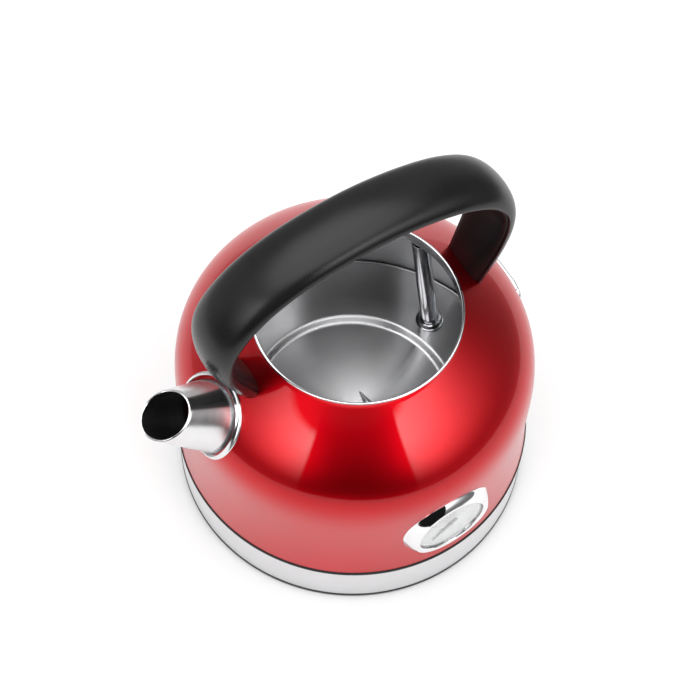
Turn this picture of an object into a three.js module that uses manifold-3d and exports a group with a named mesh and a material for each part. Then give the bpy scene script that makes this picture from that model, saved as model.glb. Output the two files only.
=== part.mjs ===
// Cordless electric dome kettle: a one-piece dome body on a steel base band, with a fixed arch handle,
// a cone spout, a dial thermometer, a steam tube, a heated floor and a central power connector.
// Millimetres, +Z up. The origin is on the kettle's vertical axis, at the plane that it stands on.
// +X points to the back of the kettle (switch lever), -X to the spout and -Y to the thermometer.

import * as THREE from 'three';
import { mergeVertices } from 'three/addons/utils/BufferGeometryUtils.js';
import Module from 'manifold-3d';

const wasm = await Module();
wasm.setup();

// ---------------------------------------------------------------- driving dimensions

const turnSegments = 40;        // facets round the kettle's axis
const gap = 0.3;                // clearance between pieces that touch on the real kettle

// dome body
const baseR = 84.9;             // outer radius at the seam between body and base band
const seamZ = 27.6;             // height of the seam
const rimR = 47.2;              // radius of the mouth
const rimZ = 126.5;             // height of the mouth
const wall = 0.9;               // sheet thickness of the body
const lowerPull = 66.9;         // how far the dome keeps climbing from the seam
const lowerLean = -6.4;         // how much that climb leans outwards
const upperPull = 50;           // how far the shoulder spreads from the mouth
const upperDrop = 34.3;         // how far the shoulder drops from the mouth

// mouth ring
const mouthRingDepth = 6.4;
const mouthRingWall = 0.8;
const mouthLipProud = 0.4;      // how far the lip reaches past the mouth's edge
const mouthLipThick = 0.7;

// base
const coverBottom = 0.6;        // height of the cover's underside
const coverThick = 2;
const sealHeight = 2.2;
const sealDepth = 2.6;
const sealProud = 0.3;          // how far the black seal stands out of the band
const bandWall = 0.9;
const coverWall = 1.9;          // the cover's upstand inside the band
const coverWallTop = 10;
const footR = 6;
const footPitchR = 72;
const footPocket = 1.3;
const postPitchR = 58;
const postR = 3.2;
const coverPostR = 4.8;
const screwR = 1.5;
const screwReach = 9;           // how far a base screw runs into its post
const screwHeadR = 3.2;
const screwHeadThick = 1.8;

// heated floor
const floorZ = 35.5;            // top of the outer floor
const floorSheet = 1;
const floorStep = 2.4;          // how far the middle lies below the outer floor
const floorStepR = 50.5;
const floorStepRun = 3;
const floorFlange = 4;          // height of the flange welded to the body
const diffuserThick = 2.4;
const diffuserMargin = 2;
const elementRingR = 36;
const elementR = 3.2;
const elementGapDeg = 52;
const coldPinR = 1.5;
const coldPinLength = 11;
const strapR = 1;

// power connector in the middle of the base
const connectorR = 21.3;
const connectorSkirt = 1.5;
const connectorSkirtZ = 2.2;
const connectorBodyZ = 14.5;
const contactPinR = 2.5;
const contactPinZ = 1.2;        // height of the contact pin's end face
const neutralRingR = 8.6;
const earthRingR = 13.6;
const contactRingThick = 0.8;
const wellWall = 1.5;
const bimetalR = 8;
const bimetalSheet = 0.6;
const bimetalCrown = 0.8;

// steam tube
const tubeFootR = 61.9;
const tubeFootDeg = 20.2;
const tubeR = 4.25;
const tubeWall = 0.6;
const tubeTopZ = 108;
const tubeLeanX = -0.105;       // sideways travel for each millimetre of climb
const tubeLeanY = 0.06;
const tubeCollarR = 7;
const tubeCollarHeight = 3;

// spout
const spoutBaseX = -73.1;
const spoutBaseZ = 97.8;
const spoutRiseDeg = 42.4;
const spoutBaseR = 17.4;
const spoutMouthR = 11.05;
const spoutLength = 33.5;
const spoutCutDeg = 24.3;
const spoutWall = 0.9;
const spoutHoleR = 14.6;
const spoutFlangeWidth = 2.2;
const spoutFlangeThick = 1.2;
const strainerThick = 0.8;
const strainerHoleR = 1.6;
const strainerPitch = 5;

// thermometer
const gaugeZ = 58.3;
const gaugeR = 22.7;
const gaugeProud = 2.256;       // from the furthest point of the wall behind the dial to the bezel's front
const gaugeLip = 0.5;
const gaugeRimDrop = 1.6;       // the bezel's slope ends this far behind the wall's front line
const gaugeWindowR = 16.9;
const gaugeFrontR = 18.2;
const gaugeBezelWall = 3.4;
const gaugeCaseR = 14.5;
const gaugeCaseDepth = 8;
const gaugeCaseWall = 0.8;
const dialSetOut = 0.256;       // from that point to the back of the dial
const dialThick = 0.3;
const glassThick = 0.35;
const pointerLength = 12;
const pointerThick = 0.2;
const pointerShaftR = 0.7;
const shaftProud = 0.1;
const stemR = 2;
const stemBore = 1;
const stemTipGap = 5.2;         // distance of the stem's tip from the kettle's axis
const gaugeNutRim = 4.3;        // how far the nut's corners reach past the case
const gaugeNutThick = 2.2;
const gaugeNutSetBack = 3;
const gaugeSealRim = 2.5;

// water window at the back
const windowHalfWidth = 7.6;
const windowLow = 46;
const windowHigh = 84;
const windowFrameWidth = 6.8;
const windowFrameProud = 2.6;
const windowGlassProud = 1.3;
const windowSealWidth = 3.4;
const windowSealThick = 1;

// handle
const handleTopZ = 199;         // height of the parting plane at the top of the arch
const handleFrontX = -70;       // furthest reach of the front leg
const handleRearX = 67;         // furthest reach of the rear leg
const handleFrontFootR = 56.6;
const handleRearFootR = 57;
const handleHalfWidth = 15.1;
const handleFrontFootHalf = 10.2;
const handleRearFootHalf = 11.8;
const handleOuterDepth = 7.4;    // from the parting plane to the top of the outer moulding
const handleCoverDepth = 3.6;   // from the parting plane to the inner face
const handleWall = 2;
const handleSquare = 2.1;       // exponent of the outer moulding's cross-section
const mountLength = 8;
const mountThick = 3.8;
const mountOffset = 2.3;        // from the parting plane to the middle of the mount
const mountSink = 2;
const handleScrewR = 1.2;
const handleScrewHeadR = 2.4;
const handleScrewPitch = 3.6;

// switch
const leverPivotX = 75;
const leverPivotZ = 13.5;
const leverHalfWidth = 8;
const leverTipX = 95;
const leverTipRise = 4;
const leverThick = 3.4;
const leverHubR = 3.4;
const leverPinR = 1.4;
const leverTail = 10;
const leverTailR = 1.2;
const tripPivotX = 56;
const tripPinR = 1.1;
const tripHubR = 2.8;
const tripHalfWidth = 3;
const slotHalfWidth = 11;
const slotLow = 6.5;
const slotHigh = 21;
const bezelWall = 1.2;
const bezelProud = 1;
const earThick = 1.6;
const steamCupR = 9.4;
const steamCupWall = 1.4;
const steamCupLow = 6;
const steamCupHigh = 24;
const steamDiscR = 6.8;

// ---------------------------------------------------------------- finishes

const finishes = {
  lacquer: { color: 0xb00016, roughness: 0.22, metalness: 0.55 },
  brushed: { color: 0xc4c5c6, roughness: 0.38, metalness: 0.95 },
  polished: { color: 0xd8d9da, roughness: 0.12, metalness: 1 },
  blackPlastic: { color: 0x1a1a1b, roughness: 0.5, metalness: 0 },
  blackRubber: { color: 0x121212, roughness: 0.8, metalness: 0 },
  silicone: { color: 0xb9bcbc, roughness: 0.7, metalness: 0 },
  aluminium: { color: 0xb5b7ba, roughness: 0.45, metalness: 0.9 },
  brass: { color: 0xb9964a, roughness: 0.35, metalness: 0.95 },
  copper: { color: 0xa8663f, roughness: 0.4, metalness: 0.9 },
  dial: { color: 0xd9dadb, roughness: 0.5, metalness: 0.1 },
  glass: { color: 0xf2f6f7, roughness: 0.05, metalness: 0 },
  pointer: { color: 0x2a2a2c, roughness: 0.5, metalness: 0 },
};

// ---------------------------------------------------------------- shape helpers

const radians = THREE.MathUtils.degToRad;

// joins equal vertices and turns the faces outwards
function closed(geometry) {
  let tidy = geometry.clone();
  tidy.deleteAttribute('normal');
  tidy.deleteAttribute('uv');
  tidy = mergeVertices(tidy, 1e-4);
  const points = tidy.attributes.position;
  const corners = Array.from(tidy.index.array);
  const kept = [];
  let volume = 0;
  const a = new THREE.Vector3();
  const b = new THREE.Vector3();
  const c = new THREE.Vector3();
  for (let i = 0; i < corners.length; i += 3) {
    const [p, q, r] = corners.slice(i, i + 3);
    if (p === q || q === r || r === p) continue;
    a.fromBufferAttribute(points, p);
    b.fromBufferAttribute(points, q);
    c.fromBufferAttribute(points, r);
    volume += a.dot(b.cross(c));
    kept.push(p, q, r);
  }
  if (volume < 0) {
    for (let i = 0; i < kept.length; i += 3) [kept[i], kept[i + 1]] = [kept[i + 1], kept[i]];
  }
  tidy.setIndex(kept);
  return tidy;
}

function toSolid(geometry) {
  const tidy = closed(geometry);
  const mesh = new wasm.Mesh({
    numProp: 3,
    vertProperties: new Float32Array(tidy.attributes.position.array),
    triVerts: new Uint32Array(tidy.index.array),
  });
  return new wasm.Manifold(mesh);
}

function toGeometry(solid) {
  const mesh = solid.getMesh();
  const geometry = new THREE.BufferGeometry();
  geometry.setAttribute('position', new THREE.BufferAttribute(new Float32Array(mesh.vertProperties), 3));
  geometry.setIndex(Array.from(mesh.triVerts));
  return geometry;
}

const cut = (body, ...tools) => toGeometry(
  tools.reduce((solid, tool) => solid.subtract(toSolid(tool)), toSolid(body)));
const join = (body, ...others) => toGeometry(
  others.reduce((solid, other) => solid.add(toSolid(other)), toSolid(body)));
const common = (body, other) => toGeometry(toSolid(body).intersect(toSolid(other)));

// a profile of [radius, height] pairs turned about +Z; it closes on itself or on the axis
function turned(profile, segments = turnSegments) {
  const points = profile.map(([r, z]) => new THREE.Vector2(r, z));
  const onAxis = profile[0][0] === 0 && profile.at(-1)[0] === 0;
  if (!onAxis) points.push(points[0].clone());
  return new THREE.LatheGeometry(points, segments).rotateX(Math.PI / 2);
}

const ring = (innerR, outerR, low, high, segments) => turned(
  [[innerR, low], [outerR, low], [outerR, high], [innerR, high]], segments);

const disc = (r, low, high, segments) => turned([[0, low], [r, low], [r, high], [0, high]], segments);

function rod(from, to, r, segments = 14) {
  const start = new THREE.Vector3(...from);
  const axis = new THREE.Vector3(...to).sub(start);
  const geometry = new THREE.CylinderGeometry(r, r, axis.length(), segments);
  geometry.translate(0, axis.length() / 2, 0);
  geometry.applyQuaternion(new THREE.Quaternion().setFromUnitVectors(
    new THREE.Vector3(0, 1, 0), axis.clone().normalize()));
  return geometry.translate(...from);
}

const box = (x0, x1, y0, y1, z0, z1) => new THREE.BoxGeometry(x1 - x0, y1 - y0, z1 - z0)
  .translate((x0 + x1) / 2, (y0 + y1) / 2, (z0 + z1) / 2);

// rounded rectangle in y and z, pulled along x from x0 to x1
function roundedBlock(x0, x1, halfWidth, low, high, cornerR, steps = 4) {
  const shape = new THREE.Shape();
  shape.moveTo(halfWidth, low + cornerR);
  shape.absarc(halfWidth - cornerR, high - cornerR, cornerR, 0, Math.PI / 2);
  shape.absarc(-halfWidth + cornerR, high - cornerR, cornerR, Math.PI / 2, Math.PI);
  shape.absarc(-halfWidth + cornerR, low + cornerR, cornerR, Math.PI, Math.PI * 1.5);
  shape.absarc(halfWidth - cornerR, low + cornerR, cornerR, Math.PI * 1.5, Math.PI * 2);
  const geometry = new THREE.ExtrudeGeometry(
    shape, { depth: x1 - x0, bevelEnabled: false, curveSegments: steps });
  const turn = new THREE.Matrix4().makeBasis(
    new THREE.Vector3(0, 1, 0), new THREE.Vector3(0, 0, 1), new THREE.Vector3(1, 0, 0));
  return geometry.applyMatrix4(turn).translate(x0, 0, 0);
}

// a side outline of [x, z] pairs, pulled from y = -halfWidth to y = halfWidth
function slab(outline, halfWidth) {
  const shape = new THREE.Shape(outline.map(([x, z]) => new THREE.Vector2(x, z)));
  const geometry = new THREE.ExtrudeGeometry(shape, { depth: 2 * halfWidth, bevelEnabled: false });
  return geometry.rotateX(Math.PI / 2).translate(0, halfWidth, 0);
}

// skin over a row of closed sections, each a counter-clockwise list of as many Vector3 points
function loft(sections) {
  const count = sections[0].length;
  const positions = sections.flat().flatMap((p) => [p.x, p.y, p.z]);
  const index = [];
  for (let s = 0; s < sections.length - 1; s += 1) {
    for (let i = 0; i < count; i += 1) {
      const a = s * count + i;
      const b = s * count + ((i + 1) % count);
      index.push(a, b, a + count, b, b + count, a + count);
    }
  }
  const flat = sections[0].map((p) => new THREE.Vector2(p.userX, p.userY));
  const cap = THREE.ShapeUtils.triangulateShape(flat, []);
  const last = (sections.length - 1) * count;
  cap.forEach(([a, b, c]) => index.push(b, a, c, a + last, b + last, c + last));
  const geometry = new THREE.BufferGeometry();
  geometry.setAttribute('position', new THREE.Float32BufferAttribute(positions, 3));
  geometry.setIndex(index);
  return geometry;
}

// ---------------------------------------------------------------- the dome's outline

const domeCurve = new THREE.CubicBezierCurve(
  new THREE.Vector2(baseR, seamZ),
  new THREE.Vector2(baseR + lowerLean, seamZ + lowerPull),
  new THREE.Vector2(rimR + upperPull, rimZ - upperDrop),
  new THREE.Vector2(rimR, rimZ));

// the outline moved outwards by an offset, from the seam to the mouth
function domeOutline(offset, steps = 11) {
  const points = [];
  for (let i = 0; i <= steps; i += 1) {
    const t = i / steps;
    const p = domeCurve.getPoint(t);
    const along = domeCurve.getTangent(t);
    points.push([p.x + along.y * offset, p.y - along.x * offset]);
  }
  return points;
}

// the point of the outer outline at a radius above the shoulder
function domeAtRadius(r) {
  let low = 0.5;
  let high = 1;
  for (let i = 0; i < 40; i += 1) {
    const middle = (low + high) / 2;
    if (domeCurve.getPoint(middle).x > r) low = middle;
    else high = middle;
  }
  const p = domeCurve.getPoint(low);
  return { r: p.x, z: p.y };
}

function domeRadiusAt(z) {
  let low = 0;
  let high = 1;
  for (let i = 0; i < 40; i += 1) {
    const middle = (low + high) / 2;
    if (domeCurve.getPoint(middle).y < z) low = middle;
    else high = middle;
  }
  return domeCurve.getPoint(low).x;
}

// the whole space inside the outline moved by an offset, closed across seam and mouth
function domeBlock(offset) {
  const outline = domeOutline(offset);
  const reach = 10 + Math.abs(offset);
  return turned([[0, seamZ - reach], [outline[0][0], seamZ - reach], ...outline, [0, outline.at(-1)[1]]]);
}

const domeOuter = domeBlock(gap);

// ---------------------------------------------------------------- places shared by several pieces

const bandTop = seamZ - sealHeight / 2 - gap;
const bodyBottom = seamZ + sealHeight / 2 + gap;
const coverTop = coverBottom + coverThick;
const floorMiddle = floorZ - floorStep;
const floorUnder = floorMiddle - floorSheet;
const diffuserTop = floorUnder - gap;
const diffuserLow = diffuserTop - diffuserThick;
const diffuserR = floorStepR - floorStepRun - diffuserMargin;
const elementZ = diffuserLow - gap - elementR;
const floorR = baseR - wall - 4 * gap;

const onCircle = (r, degrees, z) => [r * Math.cos(radians(degrees)), r * Math.sin(radians(degrees)), z];
const screwAngles = [60, 180, 300];
const footAngles = [0, 120, 240];

const tubeFoot = onCircle(tubeFootR, tubeFootDeg, floorZ);
const tubeAt = (z) => [
  tubeFoot[0] + tubeLeanX * (z - floorZ), tubeFoot[1] + tubeLeanY * (z - floorZ), z];

const spoutTurn = new THREE.Matrix4()
  .makeTranslation(spoutBaseX, 0, spoutBaseZ)
  .multiply(new THREE.Matrix4().makeRotationY(radians(spoutRiseDeg - 90)));
const onSpout = (geometry) => geometry.applyMatrix4(spoutTurn);

const gaugeWallY = domeRadiusAt(gaugeZ);
const cavityR = gaugeR - gaugeBezelWall;
const dialWallY = Math.max(domeRadiusAt(gaugeZ - cavityR), domeRadiusAt(gaugeZ + cavityR));
const gaugeFront = dialWallY + gaugeProud;
const onGauge = (geometry) => geometry.rotateX(Math.PI / 2).translate(0, 0, gaugeZ);

// ---------------------------------------------------------------- handle path

const frontFoot = domeAtRadius(handleFrontFootR);
const rearFoot = domeAtRadius(handleRearFootR);
const handlePath = (() => {
  const frontRise = handleTopZ - frontFoot.z;
  const rearRise = handleTopZ - rearFoot.z;
  const front = (share, rise) => new THREE.Vector3(handleFrontX * share, 0, frontFoot.z + rise * frontRise);
  const rear = (share, rise) => new THREE.Vector3(handleRearX * share, 0, rearFoot.z + rise * rearRise);
  const frontLeg = (share, rise) => front(
    THREE.MathUtils.lerp(handleFrontFootR, -handleFrontX, share) / -handleFrontX, rise);
  const rearLeg = (share, rise) => rear(
    THREE.MathUtils.lerp(handleRearFootR, handleRearX, share) / handleRearX, rise);
  return new THREE.CatmullRomCurve3([
    frontLeg(-0.1, -0.07), frontLeg(0.4, 0.13), frontLeg(0.78, 0.28), front(1, 0.43), front(0.985, 0.58),
    front(0.89, 0.72), front(0.715, 0.85), front(0.48, 0.94), front(0.22, 0.985), rear(0.06, 0.998),
    rear(0.38, 0.965), rear(0.65, 0.895), rear(0.86, 0.78), rear(0.975, 0.635), rear(1, 0.48),
    rearLeg(0.74, 0.27), rearLeg(0.3, 0.1), rearLeg(-0.1, -0.04),
  ], false, 'centripetal');
})();

// half the handle's width at a share of its path
function handleHalf(share) {
  const taper = 0.22;
  const ease = (s) => Math.sin(Math.PI / 2 * Math.min(1, s / taper));
  if (share < 0.5) return THREE.MathUtils.lerp(handleFrontFootHalf, handleHalfWidth, ease(share));
  return THREE.MathUtils.lerp(handleRearFootHalf, handleHalfWidth, ease(1 - share));
}

// carries a cross-section along the handle; sectionAt(half) gives [across, outwards] pairs
function alongHandle(sectionAt, steps = 28) {
  const sections = [];
  for (let i = 0; i <= steps; i += 1) {
    const share = i / steps;
    const middle = handlePath.getPointAt(share);
    const tangent = handlePath.getTangentAt(share);
    const outwards = new THREE.Vector3(-tangent.z, 0, tangent.x);
    sections.push(sectionAt(handleHalf(share)).map(([across, out]) => {
      const p = middle.clone().addScaledVector(outwards, out);
      p.y += across;
      p.userX = across;
      p.userY = out;
      return p;
    }));
  }
  return loft(sections);
}

// arch of the outer moulding from +half to -half, a superellipse of the given depth
function archPoints(half, depth, base, steps = 8) {
  const points = [];
  for (let i = 0; i <= steps; i += 1) {
    const angle = Math.PI * i / steps;
    const power = 2 / handleSquare;
    const across = Math.sign(Math.cos(angle)) * Math.abs(Math.cos(angle)) ** power * half;
    points.push([across, base + Math.sin(angle) ** power * depth]);
  }
  return points;
}

function handleShell() {
  const section = (half) => {
    const outer = archPoints(half, handleOuterDepth, 0);
    const inner = archPoints(half - handleWall, handleOuterDepth - handleWall, 0).reverse();
    return [...outer, ...inner];
  };
  const flangeRoom = onSpout(disc(spoutBaseR + spoutFlangeWidth + gap, -25, 22, 32));
  return cut(alongHandle(section), domeOuter, common(flangeRoom, domeBlock(2 * gap + spoutFlangeThick)));
}

function handleCover() {
  const crown = 1.2;
  const section = (half) => [
    [half - gap, -gap],
    [-half + gap, -gap],
    [-half + gap, -handleCoverDepth + crown],
    [-half + gap + crown, -handleCoverDepth],
    [half - gap - crown, -handleCoverDepth],
    [half - gap, -handleCoverDepth + crown],
  ];
  return cut(alongHandle(section), domeOuter);
}

// local frame of a foot: along = up the leg, across = +Y, out = away from the arch's inside
function footFrame(share) {
  const tangent = handlePath.getTangentAt(share);
  const out = new THREE.Vector3(-tangent.z, 0, tangent.x);
  const along = share < 0.5 ? tangent : tangent.clone().negate();
  const across = new THREE.Vector3().crossVectors(along, out);
  const start = handlePath.getPointAt(share).addScaledVector(out, mountOffset);
  return new THREE.Matrix4().makeBasis(out, across, along).setPosition(start);
}

// share of the path where it meets the dome's skin
function shareAtSkin(fromRear) {
  let inside = fromRear ? 1 : 0;
  let outside = fromRear ? 0.85 : 0.15;
  for (let i = 0; i < 30; i += 1) {
    const middle = (inside + outside) / 2;
    const p = handlePath.getPointAt(middle);
    const skin = domeAtRadius(Math.max(rimR, Math.abs(p.x))).z;
    if (p.z < skin) inside = middle;
    else outside = middle;
  }
  return inside;
}

const feet = {
  front: footFrame(shareAtSkin(false)),
  rear: footFrame(shareAtSkin(true)),
};
const handleScrewSides = { left: -handleScrewPitch, right: handleScrewPitch };
const mountHalf = handleScrewPitch + 1.6;
const mountLow = 3.6;
const washerLow = -5.4;
const washerThick = 0.8;
const washerHalf = 3.4;

// ---------------------------------------------------------------- pieces of the body

function domeBody() {
  const outer = domeOutline(0).filter(([, z]) => z > bodyBottom);
  const inner = domeOutline(-wall).filter(([, z]) => z > bodyBottom);
  const footOuter = [domeRadiusAt(bodyBottom), bodyBottom];
  const footInner = [domeRadiusAt(bodyBottom) - wall, bodyBottom];
  const shell = turned([footOuter, ...outer, ...inner.reverse(), footInner]);
  const spoutHole = onSpout(disc(spoutHoleR, -30, 20, 24));
  const gaugeHole = rod([0, -gaugeWallY - 5, gaugeZ], [0, -gaugeWallY + 15, gaugeZ], gaugeCaseR + gap, 28);
  const windowHole = roundedBlock(60, baseR + 10, windowHalfWidth + gap, windowLow - gap, windowHigh + gap, 3);
  const screwHoles = Object.values(feet).flatMap((frame) => Object.values(handleScrewSides).map(
    (side) => rod([0, side, washerLow - 2], [0, side, mountLow + 2], handleScrewR + gap, 12).applyMatrix4(frame)));
  return cut(shell, spoutHole, gaugeHole, windowHole, ...screwHoles);
}

function mouthRing() {
  const outerR = domeOutline(-wall).at(-1)[0] - gap;
  const innerR = outerR - mouthRingWall;
  const lipLow = rimZ + gap;
  const lipR = rimR + mouthLipProud;
  return turned([
    [innerR, rimZ - mouthRingDepth], [outerR, rimZ - mouthRingDepth], [outerR, lipLow],
    [lipR - gap, lipLow], [lipR, lipLow + mouthLipThick / 2],
    [lipR - gap, lipLow + mouthLipThick], [innerR, lipLow + mouthLipThick],
  ]);
}

function kettleFloor() {
  const under = floorZ - floorSheet;
  const stepIn = floorStepR - floorStepRun;
  const plate = turned([
    [0, floorMiddle], [0, floorUnder], [stepIn, floorUnder], [floorStepR, under],
    [floorR - floorSheet, under], [floorR - floorSheet, under - floorFlange], [floorR, under - floorFlange],
    [floorR, floorZ], [floorStepR, floorZ], [stepIn, floorMiddle],
  ].reverse());
  const posts = screwAngles.map((a) => rod(
    onCircle(postPitchR, a, coverWallTop + gap), onCircle(postPitchR, a, under + floorSheet / 2), postR));
  const threads = screwAngles.map((a) => rod(
    onCircle(postPitchR, a, coverWallTop - 1),
    onCircle(postPitchR, a, coverWallTop + screwReach + gap), screwR + gap));
  return cut(join(plate, ...posts), ...threads, rod(tubeAt(floorZ - 5), tubeAt(floorZ + 5), tubeR + gap, 16));
}

// ---------------------------------------------------------------- pieces of the base

const upstandR = baseR - bandWall - gap;

function baseCover() {
  const wellR = connectorR + gap + wellWall;
  const plate = turned([
    [connectorR + gap, coverBottom], [baseR + sealProud, coverBottom], [baseR + sealProud, coverTop],
    [upstandR, coverTop], [upstandR, coverWallTop], [upstandR - coverWall, coverWallTop],
    [upstandR - coverWall, coverTop], [wellR, coverTop], [wellR, coverWallTop], [connectorR + gap, coverWallTop],
  ]);
  const posts = screwAngles.map((a) => rod(
    onCircle(postPitchR, a, coverTop - 1), onCircle(postPitchR, a, coverWallTop), coverPostR));
  const headSeat = coverBottom + screwHeadThick + gap;
  const holes = screwAngles.flatMap((a) => [
    rod(onCircle(postPitchR, a, -5), onCircle(postPitchR, a, coverWallTop + 5), screwR + gap),
    rod(onCircle(postPitchR, a, -5), onCircle(postPitchR, a, headSeat + gap), screwHeadR + gap),
  ]);
  const pockets = footAngles.map((a) => rod(
    onCircle(footPitchR, a, -5), onCircle(footPitchR, a, coverBottom + footPocket), footR + gap, 20));
  const leverGate = box(upstandR - 8, upstandR + 3, -slotHalfWidth, slotHalfWidth, slotLow - 1, 30);
  return cut(join(plate, ...posts), ...holes, ...pockets, leverGate);
}

const baseBand = () => cut(
  ring(baseR - bandWall, baseR, coverTop + gap, bandTop),
  box(baseR - 10, baseR + 10, -slotHalfWidth, slotHalfWidth, slotLow, slotHigh));

const bodySeal = () => ring(
  baseR + sealProud - sealDepth, baseR + sealProud, seamZ - sealHeight / 2, seamZ + sealHeight / 2);

const rubberFoot = (angle) => rod(
  onCircle(footPitchR, angle, 0), onCircle(footPitchR, angle, coverBottom + footPocket - gap), footR, 20);

function baseScrew(angle) {
  const headLow = coverBottom + 2 * gap;
  return join(
    rod(
      onCircle(postPitchR, angle, headLow),
      onCircle(postPitchR, angle, headLow + screwHeadThick - gap), screwHeadR),
    rod(onCircle(postPitchR, angle, headLow + 1), onCircle(postPitchR, angle, coverWallTop + screwReach), screwR));
}

// ---------------------------------------------------------------- heater and connector

function heatingElement() {
  const arc = new THREE.ArcCurve(
    0, 0, elementRingR, radians(elementGapDeg / 2), radians(360 - elementGapDeg / 2), false);
  const path = new THREE.CatmullRomCurve3(
    arc.getPoints(36).map((p) => new THREE.Vector3(p.x, p.y, elementZ)));
  const section = new THREE.Shape().absarc(0, 0, elementR, 0, Math.PI * 2);
  return new THREE.ExtrudeGeometry(section, { steps: 26, curveSegments: 4, extrudePath: path, bevelEnabled: false });
}

// pin that hangs down beside an end of the element, with its strap to the controller
function elementTerminal(side) {
  const angle = side * (elementGapDeg / 2 - 5);
  const high = elementZ + elementR;
  const strapZ = high - coldPinLength + coldPinR;
  return join(
    rod(onCircle(elementRingR, angle, high), onCircle(elementRingR, angle, high - coldPinLength), coldPinR, 12),
    rod(onCircle(elementRingR, angle, strapZ), onCircle(connectorR + gap, angle, strapZ), strapR, 10));
}

const diffuserPlate = () => disc(diffuserR, diffuserLow, diffuserTop);

const controllerTop = diffuserLow - gap - bimetalCrown - bimetalSheet - gap;

const powerController = () => turned([
  [0, controllerTop], [0, controllerTop - 4], [contactPinR + gap, controllerTop - 4],
  [contactPinR + gap, connectorBodyZ], [connectorR - connectorSkirt, connectorBodyZ],
  [connectorR - connectorSkirt, connectorSkirtZ], [connectorR, connectorSkirtZ], [connectorR, controllerTop],
].reverse(), 32);

const contactPin = () => disc(contactPinR, contactPinZ, controllerTop - 4 - gap, 24);
const contactRing = (r, low) => ring(
  r - contactRingThick / 2, r + contactRingThick / 2, low, connectorBodyZ - gap, 24);

// shallow snap disc; side places it left or right of the kettle's axis
function snapDisc(x, y, low, r) {
  const profile = [[0, low + bimetalCrown], [r * 0.6, low + bimetalCrown * 0.64], [r, low],
    [r, low + bimetalSheet], [r * 0.6, low + bimetalSheet + bimetalCrown * 0.64], [0, low + bimetalSheet + bimetalCrown]];
  return turned(profile, 16).translate(x, y, 0);
}

// ---------------------------------------------------------------- steam tube

const steamTube = () => cut(
  rod(tubeAt(steamCupHigh - 5), tubeAt(tubeTopZ), tubeR, 16),
  rod(tubeAt(steamCupHigh - 8), tubeAt(tubeTopZ + 3), tubeR - tubeWall, 16));

const steamTubeCollar = () => cut(
  rod(tubeAt(floorZ + gap), tubeAt(floorZ + gap + tubeCollarHeight), tubeCollarR, 20),
  rod(tubeAt(floorZ - 5), tubeAt(floorZ + 15), tubeR + gap, 16),
  box(0, baseR, 0, baseR, floorZ - 10, floorZ + gap));

const steamTubeSeal = () => cut(
  rod(tubeAt(floorZ - floorSheet - gap - 2), tubeAt(floorZ - floorSheet - gap), tubeCollarR, 20),
  rod(tubeAt(floorZ - 15), tubeAt(floorZ + 5), tubeR + gap, 16),
  box(0, baseR, 0, baseR, floorZ - floorSheet - gap, floorZ + 5));

// ---------------------------------------------------------------- spout

const spoutRadiusAt = (s) => THREE.MathUtils.lerp(spoutBaseR, spoutMouthR, s / spoutLength);
const spoutCone = (inset, low, high) => onSpout(turned(
  [[0, low], [spoutRadiusAt(low) - inset, low], [spoutRadiusAt(high) - inset, high], [0, high]], 32));

function spoutTube() {
  const reach = spoutLength + 12;
  const mouthKnife = new THREE.BoxGeometry(90, 90, 60).translate(0, 0, 30)
    .rotateY(radians(spoutCutDeg)).translate(0, 0, spoutLength);
  return cut(spoutCone(0, -20, reach), spoutCone(spoutWall, -25, reach + 5), domeOuter, onSpout(mouthKnife));
}

function spoutFlange() {
  const disk = onSpout(disc(spoutBaseR + spoutFlangeWidth, -25, 22, 32));
  const plate = common(disk, domeBlock(gap + spoutFlangeThick));
  return cut(plate, domeOuter, spoutCone(-gap, -30, 30));
}

function spoutStrainer() {
  const r = spoutHoleR - gap;
  const holes = [];
  for (let row = -3; row <= 3; row += 1) {
    for (let column = -3; column <= 3; column += 1) {
      const x = strainerPitch * (column + (row % 2) / 2);
      const y = strainerPitch * row * Math.sqrt(3) / 2;
      if (Math.hypot(x, y) >= r - strainerHoleR - 1.5) continue;
      holes.push(disc(strainerHoleR, -9, 9, 6).translate(x, y, 0));
    }
  }
  const plate = cut(disc(r, -strainerThick, 0, 32), ...holes);
  return onSpout(plate.translate(0, 0, -6));
}

// ---------------------------------------------------------------- thermometer

const dialBack = dialWallY + dialSetOut;
const dialFront = dialBack + dialThick;
const glassBack = gaugeFront - gaugeLip - gap / 2 - glassThick;

function gaugeBezel() {
  const skirt = gaugeWallY - 6;
  const body = onGauge(turned([
    [cavityR, skirt], [gaugeR, skirt], [gaugeR, gaugeWallY - gaugeRimDrop],
    [gaugeFrontR + gap, gaugeFront - gap], [gaugeFrontR - gap, gaugeFront], [gaugeWindowR, gaugeFront],
    [gaugeWindowR, gaugeFront - gaugeLip], [cavityR, gaugeFront - gaugeLip - gap],
  ], 32));
  return cut(body, domeOuter);
}

const gaugeGlass = () => onGauge(disc(gaugeWindowR - gap, glassBack, glassBack + glassThick, 28));
const gaugeDial = () => onGauge(ring(pointerShaftR + gap, cavityR - gap, dialBack, dialFront, 28));

function gaugeCase() {
  const high = dialBack - gap;
  const low = gaugeWallY - gaugeCaseDepth;
  return onGauge(turned([
    [stemR + gap, low], [gaugeCaseR, low], [gaugeCaseR, high], [gaugeCaseR - gaugeCaseWall, high],
    [gaugeCaseR - gaugeCaseWall, low + gaugeCaseWall], [stemR + gap, low + gaugeCaseWall],
  ], 28));
}

// the nut clears the inside of the wall at its highest and lowest corners
const gaugeNutR = gaugeCaseR + gaugeNutRim;
const nutWallY = Math.min(gaugeWallY, domeRadiusAt(gaugeZ - gaugeNutR), domeRadiusAt(gaugeZ + gaugeNutR));
const gaugeNutHigh = nutWallY - wall - gaugeNutSetBack;

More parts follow.
